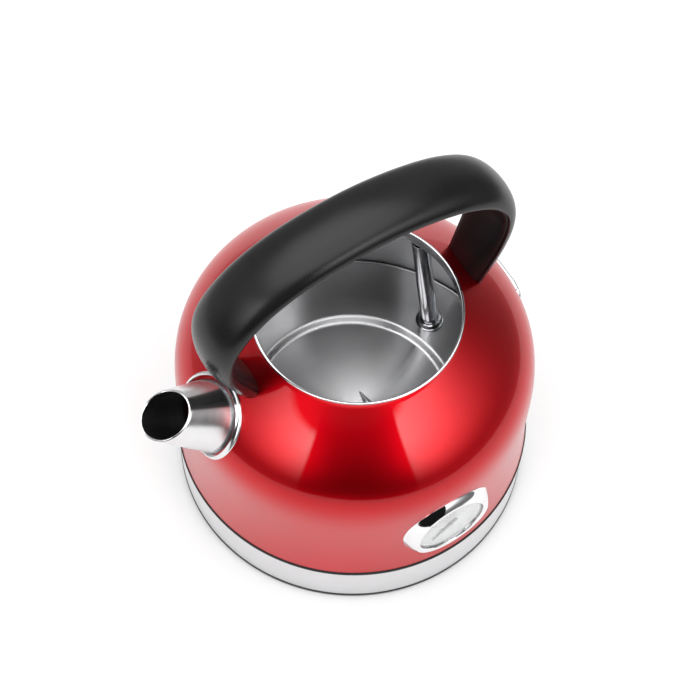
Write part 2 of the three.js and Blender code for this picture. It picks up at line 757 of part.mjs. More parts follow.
const gaugeSeal = () => common(
  onGauge(ring(gaugeCaseR + gap, gaugeCaseR + gaugeSealRim, gaugeNutHigh + gap, gaugeWallY + 5, 28)),
  domeBlock(-wall - gap));

const gaugeNut = () => onGauge(cut(
  disc(gaugeNutR, gaugeNutHigh - gaugeNutThick, gaugeNutHigh, 6),
  disc(gaugeCaseR + gap, gaugeNutHigh - gaugeNutThick - 1, gaugeNutHigh + 1, 28)));

const stemStart = gaugeWallY - gaugeCaseDepth + gaugeCaseWall + 1;
const gaugeStem = () => onGauge(cut(
  turned([[0, stemTipGap], [stemR * 0.4, stemTipGap + 1.5], [stemR, stemTipGap + 7],
    [stemR, stemStart], [0, stemStart]], 16),
  disc(stemBore, stemTipGap + 9, stemStart + 5, 12)));

const pointerShaft = () => onGauge(disc(pointerShaftR, stemTipGap + 12, dialFront + shaftProud, 10));

function gaugePointer() {
  const low = dialFront + shaftProud + gap / 2;
  const outline = new THREE.Shape([
    new THREE.Vector2(-1.1, 4), new THREE.Vector2(-1.1, 0), new THREE.Vector2(-0.3, -pointerLength),
    new THREE.Vector2(0.3, -pointerLength), new THREE.Vector2(1.1, 0), new THREE.Vector2(1.1, 4)]);
  const blade = new THREE.ExtrudeGeometry(outline, { depth: pointerThick, bevelEnabled: false })
    .translate(0, 0, low).rotateZ(radians(-50));
  return onGauge(join(blade, disc(1.8, low, low + pointerThick, 16)));
}

// flat bimetal spiral round the pointer's shaft
function bimetalCoil() {
  const turns = 3;
  const sheet = 0.35;
  const height = 2.4;
  const low = stemStart + 1;
  const start = pointerShaftR + gap + sheet;
  const end = gaugeCaseR - gaugeCaseWall - 3;
  const outer = [];
  const inner = [];
  const steps = turns * 12;
  for (let i = 0; i <= steps; i += 1) {
    const share = i / steps;
    const angle = share * turns * 2 * Math.PI;
    const r = THREE.MathUtils.lerp(start, end, share);
    outer.push(new THREE.Vector2(Math.cos(angle) * (r + sheet / 2), Math.sin(angle) * (r + sheet / 2)));
    inner.push(new THREE.Vector2(Math.cos(angle) * (r - sheet / 2), Math.sin(angle) * (r - sheet / 2)));
  }
  const strip = new THREE.Shape([...outer, ...inner.reverse()]);
  const geometry = new THREE.ExtrudeGeometry(strip, { depth: height, bevelEnabled: false });
  return onGauge(geometry.translate(0, 0, low));
}

// ---------------------------------------------------------------- water window

function windowFrame() {
  const half = windowHalfWidth + windowFrameWidth;
  const low = windowLow - windowFrameWidth;
  const high = windowHigh + windowFrameWidth;
  const outline = roundedBlock(60, baseR + 10, half, low, high, 8);
  const opening = roundedBlock(50, baseR + 20, windowHalfWidth, windowLow, windowHigh, 3);
  return cut(common(outline, domeBlock(windowFrameProud)), domeOuter, opening);
}

function windowGlass() {
  const outline = roundedBlock(60, baseR + 10, windowHalfWidth - gap, windowLow + gap, windowHigh - gap, 3);
  return cut(common(outline, domeBlock(windowGlassProud)), domeBlock(-wall - gap));
}

function windowSeal() {
  const half = windowHalfWidth + windowSealWidth;
  const outline = roundedBlock(
    60, baseR + 10, half, windowLow - windowSealWidth, windowHigh + windowSealWidth, 5);
  const opening = roundedBlock(50, baseR + 20, windowHalfWidth, windowLow, windowHigh, 3);
  return cut(common(outline, domeBlock(-wall - gap)), domeBlock(-wall - gap - windowSealThick), opening);
}

// ---------------------------------------------------------------- handle mounts

const handleMount = (frame) => cut(
  box(-mountThick / 2, mountThick / 2, -mountHalf, mountHalf, mountLow, mountLow + mountLength).applyMatrix4(frame),
  ...Object.values(handleScrewSides).map(
    (side) => rod([0, side, mountLow - 1], [0, side, mountLow + mountLength - mountSink], handleScrewR + gap, 12)
      .applyMatrix4(frame)));

const handleWasher = (frame) => cut(
  box(-washerHalf, washerHalf, -mountHalf - 1, mountHalf + 1, washerLow, washerLow + washerThick),
  ...Object.values(handleScrewSides).map(
    (side) => rod([0, side, washerLow - 1], [0, side, washerLow + 5], handleScrewR + gap, 12))).applyMatrix4(frame);

const handleScrew = (frame, side) => join(
  rod([0, side, washerLow - gap - 2], [0, side, washerLow - gap], handleScrewHeadR, 12),
  rod([0, side, washerLow - 1.5], [0, side, mountLow + mountLength - mountSink - gap], handleScrewR, 12))
  .applyMatrix4(frame);

// ---------------------------------------------------------------- switch

function switchLever() {
  const tip = leverPivotZ + leverTipRise;
  const half = leverThick / 2;
  const arm = slab([
    [leverPivotX, leverPivotZ - half], [leverPivotX + 9, leverPivotZ - half], [leverTipX - 6, tip - half - 0.6],
    [leverTipX - 1, tip - half - 0.6], [leverTipX, tip - half + 0.6], [leverTipX, tip + half - 0.6],
    [leverTipX - 1.5, tip + half], [leverTipX - 7, tip + half - 0.6], [leverPivotX + 9, leverPivotZ + half],
    [leverPivotX, leverPivotZ + half],
  ], leverHalfWidth);
  const tail = slab([
    [leverPivotX - leverTail, leverPivotZ - 0.9], [leverPivotX, leverPivotZ - 0.9],
    [leverPivotX, leverPivotZ + 0.9], [leverPivotX - leverTail, leverPivotZ + 0.9],
  ], 1.6);
  const tailTip = rod(
    [leverPivotX - leverTail, -1.6, leverPivotZ], [leverPivotX - leverTail, 1.6, leverPivotZ], leverTailR, 12);
  const hub = rod([leverPivotX, -leverHalfWidth, leverPivotZ], [leverPivotX, leverHalfWidth, leverPivotZ], leverHubR);
  const bore = rod([leverPivotX, -20, leverPivotZ], [leverPivotX, 20, leverPivotZ], leverPinR + gap, 16);
  return cut(join(arm, tail, tailTip, hub), bore);
}

const earInner = leverHalfWidth + 1;
const pinReach = earInner + earThick;
const leverPin = () => rod([leverPivotX, -pinReach, leverPivotZ], [leverPivotX, pinReach, leverPivotZ], leverPinR, 16);
const tripPin = () => rod([tripPivotX, -pinReach, leverPivotZ], [tripPivotX, pinReach, leverPivotZ], tripPinR, 16);

// rocker whose fork follows the tip of the lever's tail
function tripLever() {
  const reach = leverPivotX - leverTail - tripPivotX;
  const slot = leverTailR + 0.45;
  const arm = box(tripPivotX, tripPivotX + reach + 1, -tripHalfWidth, tripHalfWidth,
    leverPivotZ - slot - 1.2, leverPivotZ + slot + 1.2);
  const mouth = box(tripPivotX + tripHubR + 0.6, tripPivotX + reach + 5, -1.6 - 2 * gap, 1.6 + 2 * gap,
    leverPivotZ - slot, leverPivotZ + slot);
  const hub = rod([tripPivotX, -leverHalfWidth, leverPivotZ], [tripPivotX, leverHalfWidth, leverPivotZ], tripHubR);
  const bore = rod([tripPivotX, -20, leverPivotZ], [tripPivotX, 20, leverPivotZ], tripPinR + gap, 16);
  return cut(join(arm, hub), mouth, bore);
}

const cupCentre = tubeAt((steamCupLow + steamCupHigh) / 2);

function steamSwitchHousing() {
  const x0 = tripPivotX - 5;
  const x1 = leverPivotX + 4;
  const floorLow = coverTop + 1;
  const floorHigh = floorLow + earThick;
  const base = box(x0, x1, -pinReach, pinReach, floorLow, floorHigh);
  const ears = [-1, 1].map((side) => {
    const y = [side * earInner, side * pinReach].sort((a, b) => a - b);
    return box(x0, x1, y[0], y[1], floorLow, leverPivotZ + 4);
  });
  const [cx, cy] = cupCentre;
  const cup = disc(steamCupR, steamCupLow, steamCupHigh, 20).translate(cx, cy, 0);
  const web = box(cx - tripHalfWidth, cx + tripHalfWidth, earInner, cy, floorLow, leverPivotZ + 4);
  const room = disc(steamCupR - steamCupWall, steamCupLow + steamCupWall, steamCupHigh - steamCupWall, 20)
    .translate(cx, cy, 0);
  const inlet = rod(tubeAt(steamCupHigh - 8), tubeAt(steamCupHigh + 5), tubeR + gap, 16);
  const holes = [
    rod([leverPivotX, -30, leverPivotZ], [leverPivotX, pinReach + 1, leverPivotZ], leverPinR + gap, 16),
    rod([tripPivotX, -30, leverPivotZ], [tripPivotX, pinReach + 1, leverPivotZ], tripPinR + gap, 16),
  ];
  const keepClear = box(x0 - 1, x1 + 1, -earInner, earInner, floorHigh, 40);
  return cut(join(base, ...ears, cup, web), room, inlet, keepClear, ...holes);
}

const steamDisc = () => snapDisc(cupCentre[0], cupCentre[1], steamCupLow + steamCupWall + 3, steamDiscR);

function switchBezel() {
  const sleeve = roundedBlock(baseR - 5, baseR + 1, slotHalfWidth - gap, slotLow + gap, slotHigh - gap, 1.5);
  const flange = roundedBlock(baseR - 6, baseR + 6, slotHalfWidth + 1.6, slotLow - 1.6, slotHigh + 1.6, 2.5);
  const skin = common(flange, disc(baseR + bezelProud, 0, 30));
  const outside = cut(skin, disc(baseR + gap, -1, 31));
  const opening = roundedBlock(
    baseR - 20, baseR + 20, slotHalfWidth - gap - bezelWall, slotLow + gap + bezelWall, slotHigh - gap - bezelWall, 1);
  return cut(join(outside, sleeve), opening);
}

// ---------------------------------------------------------------- assembly

const kettle = new THREE.Group();
kettle.name = 'dome_kettle';

function group(name) {
  const set = new THREE.Group();
  set.name = name;
  kettle.add(set);
  return (node, geometry, finish) => {
    const mesh = new THREE.Mesh(closed(geometry), new THREE.MeshStandardMaterial(finishes[finish]));
    mesh.name = node;
    set.add(mesh);
  };
}

const body = group('body');
body('dome_body', domeBody(), 'lacquer');
body('mouth_ring', mouthRing(), 'brushed');
body('kettle_floor', kettleFloor(), 'brushed');
body('body_seal', bodySeal(), 'blackRubber');
body('base_band', baseBand(), 'brushed');
body('base_cover', baseCover(), 'blackPlastic');
footAngles.forEach((angle, i) => body(`foot_${i + 1}`, rubberFoot(angle), 'blackRubber'));
screwAngles.forEach((angle, i) => body(`base_screw_${i + 1}`, baseScrew(angle), 'brushed'));

const heater = group('heater');
heater('diffuser_plate', diffuserPlate(), 'aluminium');
heater('heating_element', heatingElement(), 'aluminium');
heater('element_terminal_left', elementTerminal(-1), 'copper');
heater('element_terminal_right', elementTerminal(1), 'copper');
heater('power_controller', powerController(), 'blackPlastic');
heater('contact_pin', contactPin(), 'brass');
heater('neutral_ring', contactRing(neutralRingR, connectorSkirtZ + 2), 'brass');
heater('earth_ring', contactRing(earthRingR, connectorSkirtZ + 1), 'brass');
heater('dry_boil_disc_left', snapDisc(0, -bimetalR - 1.4, controllerTop + gap, bimetalR), 'copper');
heater('dry_boil_disc_right', snapDisc(0, bimetalR + 1.4, controllerTop + gap, bimetalR), 'copper');

const steam = group('steam');
steam('steam_tube', steamTube(), 'polished');
steam('steam_tube_collar', steamTubeCollar(), 'brushed');
steam('steam_tube_seal', steamTubeSeal(), 'silicone');
steam('steam_switch_housing', steamSwitchHousing(), 'blackPlastic');
steam('steam_disc', steamDisc(), 'copper');
steam('trip_lever', tripLever(), 'silicone');
steam('trip_pin', tripPin(), 'polished');
steam('switch_lever', switchLever(), 'blackPlastic');
steam('lever_pin', leverPin(), 'polished');
steam('switch_bezel', switchBezel(), 'blackPlastic');

const spout = group('spout');
spout('spout_tube', spoutTube(), 'brushed');
spout('spout_flange', spoutFlange(), 'brushed');
spout('spout_strainer', spoutStrainer(), 'brushed');

const gauge = group('gauge');
gauge('gauge_bezel', gaugeBezel(), 'polished');
gauge('gauge_glass', gaugeGlass(), 'glass');
gauge('gauge_dial', gaugeDial(), 'dial');
gauge('gauge_case', gaugeCase(), 'brushed');
gauge('gauge_seal', gaugeSeal(), 'blackRubber');
gauge('gauge_nut', gaugeNut(), 'polished');
gauge('gauge_stem', gaugeStem(), 'polished');
gauge('gauge_pointer', gaugePointer(), 'pointer');
gauge('pointer_shaft', pointerShaft(), 'brass');
gauge('bimetal_coil', bimetalCoil(), 'copper');

const windowSet = group('window');
windowSet('window_frame', windowFrame(), 'polished');
windowSet('window_glass', windowGlass(), 'glass');
windowSet('window_seal', windowSeal(), 'silicone');

const handle = group('handle');
handle('handle_shell', handleShell(), 'blackPlastic');
handle('handle_cover', handleCover(), 'blackPlastic');
for (const [place, frame] of Object.entries(feet)) {
  handle(`handle_mount_${place}`, handleMount(frame), 'brushed');
  handle(`handle_washer_${place}`, handleWasher(frame), 'silicone');
  for (const [hand, side] of Object.entries(handleScrewSides)) {
    handle(`handle_screw_${place}_${hand}`, handleScrew(frame, side), 'brushed');
  }
}

export default kettle;
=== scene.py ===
import math

import bmesh
import bpy
import numpy as np
from mathutils import Matrix, Vector


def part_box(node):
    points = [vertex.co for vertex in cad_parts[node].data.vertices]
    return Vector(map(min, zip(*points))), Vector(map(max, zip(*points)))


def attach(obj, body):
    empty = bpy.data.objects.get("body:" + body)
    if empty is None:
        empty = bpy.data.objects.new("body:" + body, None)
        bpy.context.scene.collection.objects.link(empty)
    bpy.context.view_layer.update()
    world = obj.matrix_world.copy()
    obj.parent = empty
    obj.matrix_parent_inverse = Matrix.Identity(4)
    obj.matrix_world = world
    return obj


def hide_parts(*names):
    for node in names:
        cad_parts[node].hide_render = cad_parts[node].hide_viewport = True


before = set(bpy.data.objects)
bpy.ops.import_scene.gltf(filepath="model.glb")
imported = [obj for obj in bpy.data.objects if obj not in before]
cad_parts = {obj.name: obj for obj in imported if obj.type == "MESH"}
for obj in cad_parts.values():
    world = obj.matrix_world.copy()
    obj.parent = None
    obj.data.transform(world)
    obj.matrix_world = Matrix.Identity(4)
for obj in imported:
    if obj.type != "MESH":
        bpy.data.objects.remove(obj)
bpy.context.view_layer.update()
print("frame loaded:", len(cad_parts), "nodes")

mm = 0.001
scene = bpy.context.scene

# where the pieces sit, in millimetres: the dome's outline and the axes that several pieces share
shared = {
    "seamRadius": 84.9,
    "seamHeight": 27.6,
    "mouthRadius": 47.2,
    "mouthHeight": 126.5,
    "wall": 0.9,
    "climb": (-6.4, 66.9),          # from the seam to the outline's second control point
    "shoulder": (50.0, -34.3),      # from the mouth to the third control point
    "spoutBase": (-73.1, 0.0, 97.8),
    "spoutRise": 42.4,
    "gaugeHeight": 58.3,
    "screwPitch": 58.0,             # radius of the circle that the base screws and their posts stand on
    "screwAngles": (60, 180, 300),
    "roundCount": 224,              # facets round a large turned piece
}

# ---- camera

camera = {
    "lens": 91.56,
    "sensor": 36.0,
    "distance": 0.85,
    "target": (0.0, 0.0, 0.0522),
    "azimuth": -34.0,
    "elevation": 61.96,
    "roll": 2.97,
    "shift": (-0.0049, 0.0558),
    "clip": (0.02, 30.0),
}


def makeCamera():
    # the camera sits on a sphere round the target and is then rolled about its own axis
    azimuth = math.radians(camera["azimuth"])
    elevation = math.radians(camera["elevation"])
    back = Vector((
        math.sin(azimuth) * math.cos(elevation),
        -math.cos(azimuth) * math.cos(elevation),
        math.sin(elevation)))
    right = Vector((math.cos(azimuth), math.sin(azimuth), 0.0))
    up = back.cross(right)
    turn = Matrix((right, up, back)).transposed().to_4x4()
    data = bpy.data.cameras.new("camera")
    data.lens = camera["lens"]
    data.sensor_width = camera["sensor"]
    data.shift_x, data.shift_y = camera["shift"]
    data.clip_start, data.clip_end = camera["clip"]
    thing = bpy.data.objects.new("camera", data)
    scene.collection.objects.link(thing)
    place = Matrix.Translation(Vector(camera["target"]) + back * camera["distance"])
    thing.matrix_world = place @ turn @ Matrix.Rotation(math.radians(camera["roll"]), 4, "Z")
    scene.camera = thing


makeCamera()
print("camera placed")

# ---- shader expressions


class Wire:
    # one output socket; arithmetic on wires adds Math nodes to the tree
    def __init__(self, tree, socket):
        self.tree = tree
        self.socket = socket

    def math(self, operation, *values):
        return self.tree.node("ShaderNodeMath", {"operation": operation}, *values)

    def __add__(self, other):
        return self.math("ADD", self, other)

    def __radd__(self, other):
        return self.math("ADD", other, self)

    def __sub__(self, other):
        return self.math("SUBTRACT", self, other)

    def __rsub__(self, other):
        return self.math("SUBTRACT", other, self)

    def __mul__(self, other):
        return self.math("MULTIPLY", self, other)

    def __rmul__(self, other):
        return self.math("MULTIPLY", other, self)

    def __pow__(self, other):
        return self.math("POWER", self, other)

    def __neg__(self):
        return self.math("MULTIPLY", self, -1.0)

    def part(self, name):
        return Wire(self.tree, self.socket.node.outputs[name])


class Tree:
    # a node tree whose nodes all come from node()
    def __init__(self, owner):
        owner.use_nodes = True
        self.nodes = owner.node_tree.nodes
        self.links = owner.node_tree.links
        self.nodes.clear()

    def node(self, kind, settings=None, *values, **named):
        # settings come first, because they decide which sockets are in use; plain values fill those in turn
        made = self.nodes.new(kind)
        for key, value in (settings or {}).items():
            setattr(made, key, value)
        used = [socket for socket in made.inputs if socket.enabled]
        for socket, value in zip(used, values):
            self.feed(socket, value)
        for name, value in named.items():
            self.feed(made.inputs[name.replace("_", " ")], value)
        live = [socket for socket in made.outputs if socket.enabled]
        return Wire(self, live[0]) if live else made

    def feed(self, socket, value):
        if isinstance(value, Wire):
            self.links.new(value.socket, socket)
        elif hasattr(socket.default_value, "__len__") and len(socket.default_value) == 4:
            socket.default_value = (*value[:3], 1.0)
        else:
            socket.default_value = value

    def spread(self, value, low, high, toLow=0.0, toHigh=1.0):
        return self.node("ShaderNodeMapRange", {}, value, low, high, toLow, toHigh)

    def stretch(self, noise, edge, toLow=0.0, toHigh=1.0):
        # the middle of a noise's range, from edge to 1 - edge, spread over two values
        return self.spread(noise, edge, 1 - edge, toLow, toHigh)

    def blendColour(self, factor, first, second):
        return self.node("ShaderNodeMix", {"data_type": "RGBA"}, factor, first, second)


def newMaterial(name):
    material = bpy.data.materials.new(name)
    return material, Tree(material)


def finishMaterial(tree, surface):
    tree.node("ShaderNodeOutputMaterial", {}, Surface=surface)


def principled(tree, base, roughness, metallic=0.0, normal=None, **constants):
    values = {"Base_Color": base, "Roughness": roughness, "Metallic": metallic, **constants}
    if normal is not None:
        values["Normal"] = normal
    return tree.node("ShaderNodeBsdfPrincipled", {}, **values)


def place(tree):
    return tree.node("ShaderNodeTexCoord").part("Object")


def axes(tree, vector):
    split = tree.node("ShaderNodeSeparateXYZ", {}, vector)
    return split.part("X"), split.part("Y"), split.part("Z")


def grain(tree, vector, scale, detail=2.0, roughness=0.5):
    return tree.node(
        "ShaderNodeTexNoise", {}, Vector=vector, Scale=scale, Detail=detail, Roughness=roughness)


def bumped(tree, height, strength, distance):
    return tree.node("ShaderNodeBump", {}, Strength=strength, Distance=distance, Height=height)


def ringCoordinates(tree):
    # radius, angle and height about the upright axis
    x, y, z = axes(tree, place(tree))
    radius = (x * x + y * y) ** 0.5
    angle = x.math("ARCTAN2", y, x)
    return radius, angle, z


def joined(tree, x, y, z):
    return tree.node("ShaderNodeCombineXYZ", {}, x, y, z)


# ---- materials; noise scales count features per metre

lacquer = {
    "deep": (0.41, 0.0, 0.003),
    "bright": (0.57, 0.0, 0.006),
    "metallic": 0.97,
    "roughness": (0.33, 0.40),
    "flakeScale": 5200.0,
    "driftScale": 22.0,
    "flakeShare": 0.55,             # the flakes' part in the colour; the drift has the rest
    "leastBright": 0.35,
    "coat": 0.5,
    "coatRoughness": 0.03,
    "coatIor": 1.52,
}


def redLacquer():
    # a candy coat: metal flake under a clear glossy layer, with slow drifts in the colour
    material, tree = newMaterial("redLacquer")
    flakes = grain(tree, place(tree), lacquer["flakeScale"], 1.0)
    drift = grain(tree, place(tree), lacquer["driftScale"], 2.0)
    share = lacquer["flakeShare"]
    shade = tree.stretch(flakes * share + drift * (1 - share), 0.3, lacquer["leastBright"])
    base = tree.blendColour(shade, lacquer["deep"], lacquer["bright"])
    gloss = tree.stretch(flakes, 0.3, *lacquer["roughness"])
    finishMaterial(tree, principled(
        tree, base, gloss, lacquer["metallic"], Coat_Weight=lacquer["coat"],
        Coat_Roughness=lacquer["coatRoughness"], Coat_IOR=lacquer["coatIor"]))
    return material


brushed = {
    "dark": (0.56, 0.56, 0.57),
    "light": (0.66, 0.66, 0.67),
    "roughness": (0.24, 0.32),
    "lineScale": 2600.0,
    "cloudScale": 60.0,
    "lineShare": 0.7,               # the lines' part in colour and gloss; the clouds have the rest
    "bump": 0.02,
    "bumpDepth": 0.0002,
    "anisotropy": 0.75,
    "crossGrain": 0.25,             # a quarter turn, so that highlights run across the brushing
}


def brushedSteel(name, lines, **changes):
    # lines(tree) gives a vector that is squeezed along the brushing; changes replace brushed's own values
    values = {**brushed, **changes}
    material, tree = newMaterial(name)
    fine = grain(tree, lines(tree), 1.0, 3.0, 0.6)
    cloud = grain(tree, place(tree), values["cloudScale"], 3.0)
    share = values["lineShare"]
    mixed = fine * share + cloud * (1 - share)
    base = tree.blendColour(tree.stretch(mixed, 0.3), values["dark"], values["light"])
    finishMaterial(tree, principled(
        tree, base, tree.stretch(mixed, 0.3, *values["roughness"]), 1.0,
        bumped(tree, fine, values["bump"], values["bumpDepth"]),
        Anisotropic=values["anisotropy"], Anisotropic_Rotation=values["crossGrain"]))
    return material


def ringLines(tree):
    # constant along the angle, quick across the radius
    radius, angle, z = ringCoordinates(tree)
    return joined(tree, radius * brushed["lineScale"], angle * 1.5, z * 120.0)


def bandLines(tree):
    # constant round the band, quick with height
    radius, angle, z = ringCoordinates(tree)
    return joined(tree, angle * 3.0, z * brushed["lineScale"], radius * 40.0)


def spoutLines(tree):
    # quick along the spout's axis, so that the lines run round the cone
    x, y, z = axes(tree, place(tree))
    rise = math.radians(shared["spoutRise"])
    along = z * math.sin(rise) - x * math.cos(rise)
    return joined(tree, along * brushed["lineScale"] * 0.7, y * 30.0, x * 30.0)


def plainLines(tree):
    # lines that lie level, whatever way the sheet faces
    x, y, z = axes(tree, place(tree))
    return joined(tree, x * 300.0, y * 300.0, z * brushed["lineScale"])


def polishedSteel(name, tint, roughness):
    # a mirror with faint smears in its tint and gloss
    material, tree = newMaterial(name)
    smear = grain(tree, place(tree), 90.0, 4.0)
    base = tree.blendColour(tree.stretch(smear, 0.35), [c * 0.93 for c in tint], tint)
    finishMaterial(tree, principled(tree, base, tree.stretch(smear, 0.35, *roughness), 1.0))
    return material


def moulded(name, colour, roughness, grainScale=1500.0, depth=0.12, specular=0.5):
    # a moulded surface: fine spark-eroded texture and slow drifts in gloss
    material, tree = newMaterial(name)
    texture = grain(tree, place(tree), grainScale, 2.0)
    drift = grain(tree, place(tree), 35.0, 3.0)
    lighter = [min(1.0, c * 1.35 + 0.002) for c in colour]
    base = tree.blendColour(tree.stretch(drift, 0.35), colour, lighter)
    gloss = tree.stretch(texture * 0.4 + drift * 0.6, 0.35, *roughness)
    finishMaterial(tree, principled(
        tree, base, gloss, 0.0, bumped(tree, texture, depth, 0.00006), Specular_IOR_Level=specular))
    return material


def castMetal(name, dark, light, roughness, scale=260.0):
    # dull metal with fine pits
    material, tree = newMaterial(name)
    pits = grain(tree, place(tree), scale, 5.0, 0.6)
    base = tree.blendColour(tree.stretch(pits, 0.3), dark, light)
    finishMaterial(tree, principled(
        tree, base, tree.stretch(pits, 0.3, *roughness), 1.0, bumped(tree, pits, 0.15, 0.0002)))
    return material


def dialEnamel():
    # a pale satin face, brushed on the slant
    material, tree = newMaterial("dialEnamel")
    x, y, z = axes(tree, place(tree))
    brush = grain(tree, joined(tree, (x + z) * 900.0, y, (x - z) * 60.0), 1.0, 2.0)
    base = tree.blendColour(brush, (0.78, 0.78, 0.78), (0.86, 0.86, 0.86))
    finishMaterial(tree, principled(tree, base, tree.stretch(brush, 0.3, 0.26, 0.36), 1.0))
    return material


def clearGlass(name, tint, body):
    # a thin clear sheet: mirror-like by the angle of view, otherwise seen through
    material, tree = newMaterial(name)
    haze = grain(tree, place(tree), 120.0, 3.0)
    gloss = tree.node("ShaderNodeBsdfGlossy", {}, Color=(1.0, 1.0, 1.0), Roughness=0.03)
    through = tree.node("ShaderNodeBsdfTransparent", {}, Color=tint)
    facing = tree.node("ShaderNodeLayerWeight", {}, Blend=0.5).part("Facing")
    factor = 0.04 + facing ** 5 * 0.9 + tree.stretch(haze, 0.3, body, body + 0.02)
    finishMaterial(tree, tree.node("ShaderNodeMixShader", {}, factor, through, gloss))
    return material


materials = {
    "lacquer": redLacquer(),
    "wall": brushedSteel(
        "steelWall", bandLines, light=(0.68, 0.68, 0.69), roughness=(0.27, 0.36)),
    "floor": brushedSteel(
        "steelFloor", ringLines, dark=(0.62, 0.62, 0.63), light=(0.70, 0.70, 0.71), roughness=(0.20, 0.25),
        anisotropy=0.95),
    "band": brushedSteel(
        "steelBand", bandLines, dark=(0.68, 0.68, 0.69), light=(0.76, 0.76, 0.77), roughness=(0.30, 0.40),
        anisotropy=0.5),
    # the spout's inside: the same steel painted near black, as painted shade for the hollow throat
    "paintedShadeThroat": castMetal("steelThroatPaintedShade", (0.035, 0.035, 0.037), (0.06, 0.06, 0.063), (0.45, 0.6)),
    "spout": brushedSteel(
        "steelSpout", spoutLines, dark=(0.70, 0.70, 0.71), light=(0.78, 0.78, 0.79), roughness=(0.16, 0.24),
        anisotropy=0.3),
    "sheet": brushedSteel("steelSheet", plainLines, anisotropy=0.2),
    "polished": polishedSteel("polishedSteel", (0.86, 0.86, 0.87), (0.04, 0.10)),
    "tube": polishedSteel("polishedTube", (0.74, 0.74, 0.76), (0.08, 0.16)),
    "zinc": castMetal("zincPlated", (0.50, 0.51, 0.53), (0.70, 0.71, 0.73), (0.28, 0.42), 700.0),
    "handle": moulded("handleBlack", (0.005, 0.005, 0.0055), (0.26, 0.33), 1400.0, 0.06, 0.32),
    "cover": moulded("coverBlack", (0.005, 0.005, 0.0055), (0.42, 0.50), 1100.0, 0.12, 0.18),
    "plastic": moulded("plasticBlack", (0.014, 0.014, 0.015), (0.40, 0.52), 1800.0, 0.14),
    "rubber": moulded("rubberBlack", (0.010, 0.010, 0.010), (0.62, 0.76), 900.0, 0.25, 0.35),
    "silicone": moulded("siliconeGrey", (0.48, 0.50, 0.50), (0.45, 0.60), 600.0, 0.10),
    "trip": moulded("tripWhite", (0.66, 0.66, 0.63), (0.35, 0.48), 1200.0, 0.10),
    "aluminium": castMetal("aluminiumRolled", (0.48, 0.49, 0.50), (0.68, 0.69, 0.70), (0.34, 0.50)),
    "brass": castMetal("brassBright", (0.55, 0.40, 0.16), (0.78, 0.61, 0.28), (0.20, 0.36), 500.0),
    "copper": castMetal("copperStrip", (0.50, 0.25, 0.14), (0.72, 0.42, 0.26), (0.26, 0.42), 420.0),
    "dial": dialEnamel(),
    "pointer": moulded("pointerGrey", (0.20, 0.20, 0.21), (0.30, 0.42)),
    "glass": clearGlass("gaugeGlass", (0.97, 0.98, 0.98), 0.0),
    "lens": clearGlass("windowLens", (0.62, 0.66, 0.68), 0.06),
}
print("materials made:", len(materials))

# ---- mesh helpers


def buildMesh(name, points, faces, marks=None):
    # faces all have the same number of corners; marks has a material number for each
    mesh = bpy.data.meshes.new(name)
    mesh.vertices.add(len(points))
    mesh.vertices.foreach_set("co", np.ascontiguousarray(points, np.float32).ravel())
    mesh.loops.add(faces.size)
    mesh.loops.foreach_set("vertex_index", faces.astype(np.int32).ravel())
    mesh.polygons.add(len(faces))
    mesh.polygons.foreach_set("loop_start", np.arange(0, faces.size, faces.shape[1], dtype=np.int32))
    if marks is not None:
        mesh.polygons.foreach_set("material_index", marks.astype(np.int32))
    mesh.update(calc_edges=True)
    mesh.validate()
    thing = bpy.data.objects.new(name, mesh)
    scene.collection.objects.link(thing)
    return thing


def surface(name, grid, wrapRows=False, wrapColumns=False, marks=None, paints=()):
    # a grid of points as quads; rows and columns can close on themselves, and marks has a number per row
    rows, columns = grid.shape[:2]
    row = np.arange(rows if wrapRows else rows - 1)[:, None]
    column = np.arange(columns if wrapColumns else columns - 1)[None, :]
    nextRow = (row + 1) % rows
    nextColumn = (column + 1) % columns
    corners = [row * columns + column, row * columns + nextColumn,
               nextRow * columns + nextColumn, nextRow * columns + column]
    faces = np.stack([c + 0 * row + 0 * column for c in corners], -1).reshape(-1, 4)
    faceMarks = None if marks is None else np.repeat(np.asarray(marks)[:len(row)], column.size)
    thing = buildMesh(name, grid.reshape(-1, 3), faces, faceMarks)
    for paint in paints:
        thing.data.materials.append(materials[paint])
    tidyMesh(thing)
    return thing


def tidyMesh(thing, merge=2e-6):
    # merges the points at poles and turns the faces outwards
    work = bmesh.new()
    work.from_mesh(thing.data)
    bmesh.ops.remove_doubles(work, verts=work.verts, dist=merge)
    bmesh.ops.dissolve_degenerate(work, edges=work.edges, dist=merge / 4)
    holes = [e for e in work.edges if e.is_boundary]
    if holes:
        bmesh.ops.holes_fill(work, edges=holes, sides=0)
    bmesh.ops.recalc_face_normals(work, faces=work.faces)
    work.to_mesh(thing.data)
    work.free()


def filleted(corners, closed=True, steps=5):
    # each corner (across, up, fillet) becomes a short curve between the points one fillet away from it
    points = np.array([c[:2] for c in corners], float)
    sizes = [c[2] if len(c) > 2 else 0.0 for c in corners]
    count = len(points)
    out = []
    for i in range(count):
        ends = not closed and i in (0, count - 1)
        if sizes[i] <= 0 or ends:
            out.append(points[i][None])
            continue
        before = points[i - 1] - points[i]
        after = points[(i + 1) % count] - points[i]
        start = points[i] + before / np.linalg.norm(before) * sizes[i]
        end = points[i] + after / np.linalg.norm(after) * sizes[i]
        t = np.linspace(0, 1, steps + 1)[:, None]
        out.append((1 - t) ** 2 * start + 2 * t * (1 - t) * points[i] + t ** 2 * end)
    return np.concatenate(out)


def turnedGrid(profile, count):
    # every profile point (radius, height) carried round the z axis
    turn = np.linspace(0, 2 * np.pi, count, endpoint=False)
    radius, height = profile[:, :1], profile[:, 1:2]
    return np.stack([radius * np.cos(turn), radius * np.sin(turn), height + 0 * turn], -1)


